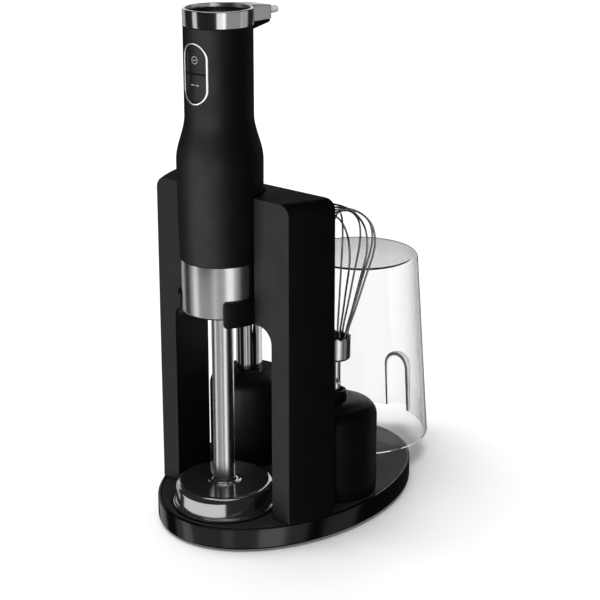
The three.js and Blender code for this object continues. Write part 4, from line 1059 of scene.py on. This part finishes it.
# %% [markdown]
# ## Whisk
# The whisk is six loops of spring wire in a steel ferrule, on a shaft with a cross pin. Each loop leaves
# the ferrule, spreads and closes over the top a little below the loop before it, so the wires cross without
# touching. A smooth curve through a few points of one side, mirrored, gives a loop.


# %% A smooth curve through points
def curve_through(points, per_span=10):
    """Centripetal Catmull-Rom curve through points."""
    first = 2 * points[0] - points[1]
    last = 2 * points[-1] - points[-2]
    row = [first, *points, last]
    result = []
    for p0, p1, p2, p3 in zip(row, row[1:], row[2:], row[3:]):
        t1 = (p1 - p0).length ** 0.5
        t2 = t1 + (p2 - p1).length ** 0.5
        t3 = t2 + (p3 - p2).length ** 0.5
        for k in range(per_span):
            t = t1 + (t2 - t1) * k / per_span
            a1 = p0 * ((t1 - t) / t1) + p1 * (t / t1)
            a2 = p1 * ((t2 - t) / (t2 - t1)) + p2 * ((t - t1) / (t2 - t1))
            a3 = p2 * ((t3 - t) / (t3 - t2)) + p3 * ((t - t2) / (t3 - t2))
            b1 = a1 * ((t2 - t) / t2) + a2 * (t / t2)
            b2 = a2 * ((t3 - t) / (t3 - t1)) + a3 * ((t - t1) / (t3 - t1))
            result.append(b1 * ((t2 - t) / (t2 - t1)) + b2 * ((t - t1) / (t2 - t1)))
    result.append(points[-1])
    return result


def wire_loops(path, across, radius, sides=12):
    """Loops of a round wire along a flat path, whose plane has this normal."""
    loops = []
    for i, here in enumerate(path):
        along = (path[min(i + 1, len(path) - 1)] - path[max(i - 1, 0)]).normalized()
        up = along.cross(across)
        loops.append([tuple(here + radius * (math.cos(a) * up + math.sin(a) * across))
                      for a in full_turn(sides)])
    return loops


# %% Wires of the whisk
HALF_LOOP = [(0.305, 0.1), (0.54, 0.31), (0.77, 0.52), (0.95, 0.68), (1, 0.78), (0.9, 0.895),
             (0.56, 0.975)]
CAGE_R = 30.5
CAGE_H = 117.0
CAGE_FOOT_R = 8.8
WIRE_R = 0.8
WIRE_STEP = 1.95
WIRE_LOOPS = 6
LOOP_SHRINK = 0.3
whisk_axis = axis("whisk_ferrule")
wire_foot = span("whisk_wire_1")[0][2] + WIRE_R / 2
for loop in range(WIRE_LOOPS):
    crown = wire_foot + CAGE_H - loop * WIRE_STEP
    one_side = [(CAGE_FOOT_R, wire_foot)]
    one_side += [(r * CAGE_R - loop * LOOP_SHRINK, wire_foot + h * (crown - wire_foot))
                 for r, h in HALF_LOOP]
    profile = [*one_side, (0, crown), *[(-r, z) for r, z in reversed(one_side)]]
    turn = math.pi * loop / WIRE_LOOPS
    out = Vector((math.cos(turn), math.sin(turn), 0))
    across = Vector((-math.sin(turn), math.cos(turn), 0))
    path = curve_through([Vector((*whisk_axis, z)) + out * r for r, z in profile])
    wire = blank(*skin(wire_loops(path, across, WIRE_R)))
    number = str(loop + 1)
    finish_piece(wire, "whisk_loop_" + number, drawn_steel, "whisk",
                 ["whisk_wire_" + number])

# %% Ferrule, shaft and cross pin
ferrule_low, ferrule_high = span("whisk_ferrule")
FERRULE_R = 11.8
SCALLOPS = 12
SCALLOP = 1.6
FERRULE_CORE = 4.4
FERRULE_CUP = 8


def scalloped(radius, z, depth, steps=192):
    """A circle whose height rises and falls between the wires."""
    result = []
    for a in full_turn(steps):
        dip = depth * (0.5 + 0.5 * math.cos(a * SCALLOPS))
        result.append((whisk_axis[0] + radius * math.cos(a), whisk_axis[1] + radius * math.sin(a),
                       z - dip))
    return result


top, foot = ferrule_high[2], ferrule_low[2]
ferrule_steps = [
    (FERRULE_CORE, foot, 0), (FERRULE_R - 2.2, foot, 0), (FERRULE_R - 0.9, foot + 0.3, 0),
    (FERRULE_R - 0.2, foot + 1.2, 0), (FERRULE_R, foot + 2.4, 0), (FERRULE_R, top - 4, 0),
    (FERRULE_R, top - 0.4, SCALLOP), (FERRULE_R - 0.4, top, SCALLOP), (FERRULE_R - 1.1, top, SCALLOP),
    (FERRULE_R - 1.5, top - 0.4, SCALLOP), (FERRULE_R - 1.5, foot + FERRULE_CUP, 0),
    (FERRULE_CORE, foot + FERRULE_CUP, 0),
]
ferrule_loops = [scalloped(*step) for step in ferrule_steps]
ferrule = blank(*skin(ferrule_loops, True))
finish_piece(ferrule, "whisk_steel_ferrule", polished_steel, "whisk", ["whisk_ferrule"])

shaft_low, shaft_high = span("whisk_shaft")
SHAFT_R = 4.0
PIN_HALF = 8.5
PIN_R = 1.6
PIN_UP = 8.0
PIN_TURN = 60
SHAFT_OVER = 3
pin_z = span("whisk_gearbox_shell")[1][2] + PIN_UP
whisk_shaft = turned([(0.6, shaft_low[2]), (SHAFT_R, shaft_low[2], 0.5),
                      (SHAFT_R, shaft_high[2] + SHAFT_OVER), (0.6, shaft_high[2] + SHAFT_OVER)],
                     whisk_axis, 64)
pin_turn = math.radians(PIN_TURN) + math.pi / 2
pin_way = Vector((math.cos(pin_turn), math.sin(pin_turn), 0))
pin_path = [Vector((*whisk_axis, pin_z)) + pin_way * (PIN_HALF * share)
            for share in (-1, -0.94, -0.5, 0.5, 0.94, 1)]
pin_loops = wire_loops(pin_path, Vector((0, 0, 1)), PIN_R, 32)
for i in (0, -1):
    end = pin_path[i]
    pin_loops[i] = [tuple(end + (Vector(p) - end) * 0.7) for p in pin_loops[i]]
combine(whisk_shaft, blank(*skin(pin_loops)), "UNION")
smooth(whisk_shaft.data)
finish_piece(whisk_shaft, "whisk_shaft_and_pin", polished_steel, "whisk", ["whisk_shaft"])

# %% [markdown]
# ## Masher
# The masher is a chromed tube with a slotted plastic head and a paddle that turns inside it. Most of it
# stands behind the tower, but the tube shows through the window, and the head is seen from behind.

# %% Masher tube and head
masher_axis = axis("masher_tube")
mt_low, mt_high = span("masher_tube")
mt_r = reach("masher_tube")
MASHER_WALL = 1.2
masher_tube = turned([(mt_r - MASHER_WALL, mt_low[2]), (mt_r, mt_low[2], 0.3),
                      (mt_r, mt_high[2], 0.3), (mt_r - MASHER_WALL, mt_high[2])], masher_axis, 96, True)
finish_piece(masher_tube, "masher_chrome_tube", chrome, "masher_unit", ["masher_tube"])

head_low, head_high = span("masher_head")
head_r = reach("masher_head")
CONE_H = 12.0
HEAD_WALL = 2.0
PADDLE_BORE = 3.5
rim_foot = head_low[2] + CONE_H
masher_head = turned([
    (PADDLE_BORE, head_low[2]), (mt_r, head_low[2], 0.6), (head_r, rim_foot, 3.0), (head_r, head_high[2], 0.8),
    (head_r - HEAD_WALL, head_high[2], 0.8), (head_r - HEAD_WALL, rim_foot + HEAD_WALL, 1.0),
    (PADDLE_BORE, rim_foot + HEAD_WALL),
], masher_axis, 144, True)
SLOTS = 8
SLOT_NEAR, SLOT_FAR = 2.0, 4.0
near, far = mt_r + HEAD_WALL, head_r - 2 * HEAD_WALL
inner_end = arc((near + SLOT_NEAR, 0), SLOT_NEAR, 90, 270, 8)
outer_end = arc((far - SLOT_FAR, 0), SLOT_FAR, -90, 90, 8)
for turn in full_turn(SLOTS):
    across, out = Vector((-math.sin(turn), math.cos(turn))), Vector((math.cos(turn), math.sin(turn)))
    outline = [Vector(masher_axis) + out * u + across * v for u, v in [*inner_end, *outer_end]]
    ends = (head_low[2] - BEYOND, head_high[2] + BEYOND)
    tool = blank(*skin([[(p.x, p.y, z) for p in outline] for z in ends]))
    combine(masher_head, tool)
smooth(masher_head.data)
finish_piece(masher_head, "masher_slotted_head", matt_abs, "masher_unit", ["masher_head"])

# %% [markdown]
# ## Beaker
# The beaker stands with its rim on the deck and overhangs the back of the base. It is a plain tapered wall
# with a pouring spout: a round channel joined to its side, with a domed end. The outside and the inside are
# made alike, one wall thickness apart, and the inside is cut out of the outside.

# %% Beaker
beaker_low, beaker_high = span("beaker")
RIM_R = (beaker_high[0] - beaker_low[0]) / 2
beaker_axis = ((beaker_low[0] + beaker_high[0]) / 2, beaker_low[1] + RIM_R)
END_R = 49.5
BEAKER_WALL = 2.4
BEAKER_ROUND = 4.0
SPOUT_R = 13.75
SPOUT_H = 54.0
SPOUT_IN = 3.0


def beaker_form(shrink, low, top, round_r):
    """The tapered wall, made smaller all round by a shrink."""
    end = END_R - shrink
    bend = arc((end - round_r, top - round_r), round_r, 4, 88, 10)
    wall = [(RIM_R - shrink + (end - RIM_R + shrink) * k / 12, low + (top - round_r - low) * k / 12)
            for k in range(12)]
    return turned([*wall, *bend], beaker_axis, 160)


def spout_form(shrink, low):
    """The channel of the spout, with its domed end."""
    centre = (beaker_axis[0], beaker_axis[1] + RIM_R - SPOUT_IN)
    radius = SPOUT_R - shrink
    spring = beaker_low[2] + SPOUT_H - SPOUT_R
    return turned([(radius, low), *arc((0, spring), radius, 0, 88, 16)], centre, 96)


beaker = beaker_form(0, beaker_low[2], beaker_high[2], BEAKER_ROUND)
combine(beaker, spout_form(0, beaker_low[2]), "UNION")
HOLLOW_ROUND = 1.8
mouth = beaker_low[2] - BEYOND
hollow = beaker_form(BEAKER_WALL, mouth, beaker_high[2] - BEAKER_WALL, HOLLOW_ROUND)
combine(hollow, spout_form(BEAKER_WALL, mouth), "UNION")
combine(beaker, hollow)
smooth(beaker.data, 30)
finish_piece(beaker, "clear_beaker", clear_san, "beaker", ["beaker"])

# %% [markdown]
# ## Inside pieces
# The motor, the gears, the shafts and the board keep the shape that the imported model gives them, because
# nobody sees their edges. Each one gets the finish of its real material.

# %% Finishes of the inside pieces
FINISHES = {
    rubber: ["leg_seal"],
    white_nylon: ["leg_bush", "leg_coupler", "cooling_fan", "whisk_input_gear", "whisk_lay_gear",
                  "whisk_output_gear", "masher_input_gear", "masher_lay_gear", "masher_output_gear",
                  "masher_paddle"],
    drawn_steel: ["ballast_plate", "drive_shaft", "blade", "power_key_spring", "turbo_key_spring",
                  "motor_stator", "lower_bearing", "upper_bearing", "motor_shaft", "drive_coupler"],
    matt_abs: ["power_switch", "turbo_switch", "dial_potentiometer"],
    board_green: ["control_board"],
    grey_nylon: ["motor_frame"],
    copper: ["armature"],
}
for material, names in FINISHES.items():
    for name in names:
        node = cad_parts[name]
        node.data.materials.clear()
        node.data.materials.append(material)
given = sum(FINISHES.values(), [])
left = [n for n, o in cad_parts.items() if not o.hide_render and n not in given]
print("CAD nodes without a finish of their own:", left)

# %% [markdown]
# ## Floor
# The object stands on a light table: a pale matt sheet that glows a little, so that it stays white and the
# shadow on it stays soft. The metals and the plastics don't mirror it: a studio lays black card there,
# so that bright steel keeps its dark bands, and leaving the floor out of reflections does the same.

# %% Floor
FLOOR_HALF = 40.0
floor_mesh = bpy.data.meshes.new("floor")
corners = [(-FLOOR_HALF, -FLOOR_HALF, 0), (FLOOR_HALF, -FLOOR_HALF, 0),
           (FLOOR_HALF, FLOOR_HALF, 0), (-FLOOR_HALF, FLOOR_HALF, 0)]
floor_mesh.from_pydata(corners, [], [(0, 1, 2, 3)])
floor = bpy.data.objects.new("floor", floor_mesh)
bpy.context.scene.collection.objects.link(floor)
floor.visible_glossy = False
floor.visible_diffuse = False
floor.visible_shadow = False
pale = bpy.data.materials.new("pale_light_table")
pale_tree = empty_tree(pale)
pale_shader = add_node(pale_tree, "ShaderNodeBsdfPrincipled",
                       {"Base Color": linear("#f4f4f4"), "Roughness": 0.9, "Specular IOR Level": 0.0,
                        "Emission Color": linear("#ffffff"), "Emission Strength": 0.12})
add_node(pale_tree, "ShaderNodeOutputMaterial", {"Surface": pale_shader.outputs[0]})
floor_mesh.materials.append(pale)

# %% [markdown]
# ## Lights
# Black plastic and bright metal need opposite light. Plastic wants one broad soft box on the left and
# darkness on the right. Metal wants narrow white cards to mirror, and dark gaps between them. A studio
# solves that with flags and gobos, and here light linking does: each lamp is tied to the pieces it is for.
# An upright card stands two metres away, and its turn says where on a round piece its reflection falls.

# %% Sort the pieces by the light they need
SHINY = {chrome, satin_chrome, bell_steel, polished_steel, drawn_steel, gloss_abs, ring_finish}
in_view = [o for o in bpy.context.scene.objects if o.type == "MESH" and not o.hide_render and o != floor]
shiny = [o for o in in_view if o.data.materials[0] in SHINY]
matt = [o for o in in_view if o not in shiny and o != beaker]
print(len(shiny), "shiny pieces,", len(matt), "matt pieces")


# %% Soft boxes and cards
def around(turn, distance, height):
    """A place round the object: turn is in degrees to the right of the camera, seen from the object."""
    a = CAMERA_TURN + math.radians(turn)
    return Vector((math.sin(a) * distance, -math.cos(a) * distance, height))


def card(name, items, place, target, width, height, radiance):
    """A lamp of even brightness, in metres, that only these objects see."""
    data = bpy.data.lights.new(name, "AREA")
    data.shape, data.size, data.size_y = "RECTANGLE", width, height
    data.energy = radiance * math.pi * width * height
    lamp = bpy.data.objects.new(name, data)
    lamp.location = place
    lamp.rotation_euler = (Vector(target) - place).to_track_quat("-Z", "Y").to_euler()
    lamp.visible_camera = lamp.visible_transmission = False
    bpy.context.scene.collection.objects.link(lamp)
    group = bpy.data.collections.new(name + "_objects")
    for item in items:
        group.objects.link(item)
    lamp.light_linking.receiver_collection = group
    return lamp


CARD_FAR = 2.0
MIDDLE = 0.2


def upright_card(name, items, turn, half, radiance, low=-0.9, high=0.35):
    """A card round the object, this many degrees to each side, between two slopes."""
    height = MIDDLE + (low + high) / 2 * CARD_FAR
    width = 2 * CARD_FAR * math.tan(math.radians(half))
    return card(name, items, around(turn, CARD_FAR, height), (0, 0, height), width,
                (high - low) * CARD_FAR, radiance)


# %% Lamps for the matt pieces
upright_card("left_soft_box", [*matt, bezel], -43, 42, 1.3)
upright_card("right_fill", matt, 125, 18, 0.1)
upright_card("rear_top_fill", matt, 180, 40, 0.13, 0.1, 0.5)
rear = card("rear_soft_box", matt, around(165, 1.3, 0.6), (0, 0, 0.15), 0.8, 0.8, 12.0)
rear.visible_glossy = False
# The soft box hardly reaches the deck and the grey gland, so each has a card of its own.
card("deck_top_card", [deck, seat], Vector((0, -0.3, 1.6)), (0, 0, 0), 1.0, 1.0, 3.0)
card("gland_top_card", [gland], Vector((0.1, 0.1, 0.9)), (0, -0.02, 0.4), 0.3, 0.3, 6.0)
card("gland_front_card", [gland], around(35, 1.0, 0.6), (0, 0.0, 0.4), 0.5, 0.5, 14.0)

# %% Cards for the metals and the gloss plastic
plated = [piece for piece in shiny if piece != bell]
steels = [piece for piece in plated if piece != top_ring]
# One bright edge right of the middle with a grey fall-off, and grey cards near both outlines.
upright_card("white_card", steels, 24, 11, 1.05)
upright_card("white_card_falloff", steels, 14, 38, 0.4)
upright_card("right_grey_card", steels, 76, 12, 0.25)
upright_card("left_strip", plated, -75, 8, 0.8)
upright_card("left_edge_strip", shiny, -138, 14, 0.45)
upright_card("rear_card", shiny, 180, 35, 0.3, 0.08, 0.5)
card("overhead_card", shiny, Vector((0, 0, 1.8)), (0, 0, 0), 1.4, 1.4, 0.7)
card("low_left_card", steels, around(-52, 0.55, -0.13), (0, 0, -0.13), 0.9, 0.52, 0.38)
# The bell's side leans its reflection down, so its card lies low on the left.
card("bell_side_card", [bell], around(-50, 0.7, -0.29), (0, -0.08, -0.29), 1.8, 0.28, 0.8)
# The ring has a white streak in the middle, and its satin spur is lit from behind.
upright_card("spur_card", [top_ring], 97, 16, 0.42)
upright_card("ring_card", [top_ring], 12, 14, 1.1)
upright_card("ring_falloff", [top_ring], 50, 34, 0.33)
card("head_card", [top_ring], Vector((-0.29, 0.28, 0.44)), (0, -0.05, 0.41), 0.4, 0.3, 0.7)

# %% Soft shadow on the table
sky_data = bpy.data.lights.new("overhead_sky", "SUN")
sky_data.energy = 3.75
sky_data.angle = math.radians(80)
sky = bpy.data.objects.new("overhead_sky", sky_data)
sky.rotation_euler = (-around(-120, 0.3, 1.0)).to_track_quat("-Z", "Y").to_euler()
bpy.context.scene.collection.objects.link(sky)
table = bpy.data.collections.new("table_only")
table.objects.link(floor)
sky.light_linking.receiver_collection = table

# %% [markdown]
# ## Backdrop
# What the camera or the clear plastic sees behind the object is plain white, as in a catalogue picture.
# All other rays meet a dark studio, so that the lamps above are the only things that are mirrored.

# %% Backdrop
STUDIO_DARK = 0.02
world = bpy.data.worlds.new("studio")
bpy.context.scene.world = world
tree = empty_tree(world)
rays = add_node(tree, "ShaderNodeLightPath")
seen = add_node(tree, "ShaderNodeMath",
                {0: rays.outputs["Is Camera Ray"], 1: rays.outputs["Is Transmission Ray"]},
                operation="MAXIMUM")
strength = add_node(tree, "ShaderNodeMix", {"Factor": seen.outputs[0], "A": STUDIO_DARK, "B": 1.0},
                    data_type="FLOAT")
light_node = add_node(tree, "ShaderNodeBackground",
                      {"Color": linear("#ffffff"), "Strength": strength.outputs[0]})
add_node(tree, "ShaderNodeOutputWorld", {"Surface": light_node.outputs[0]})
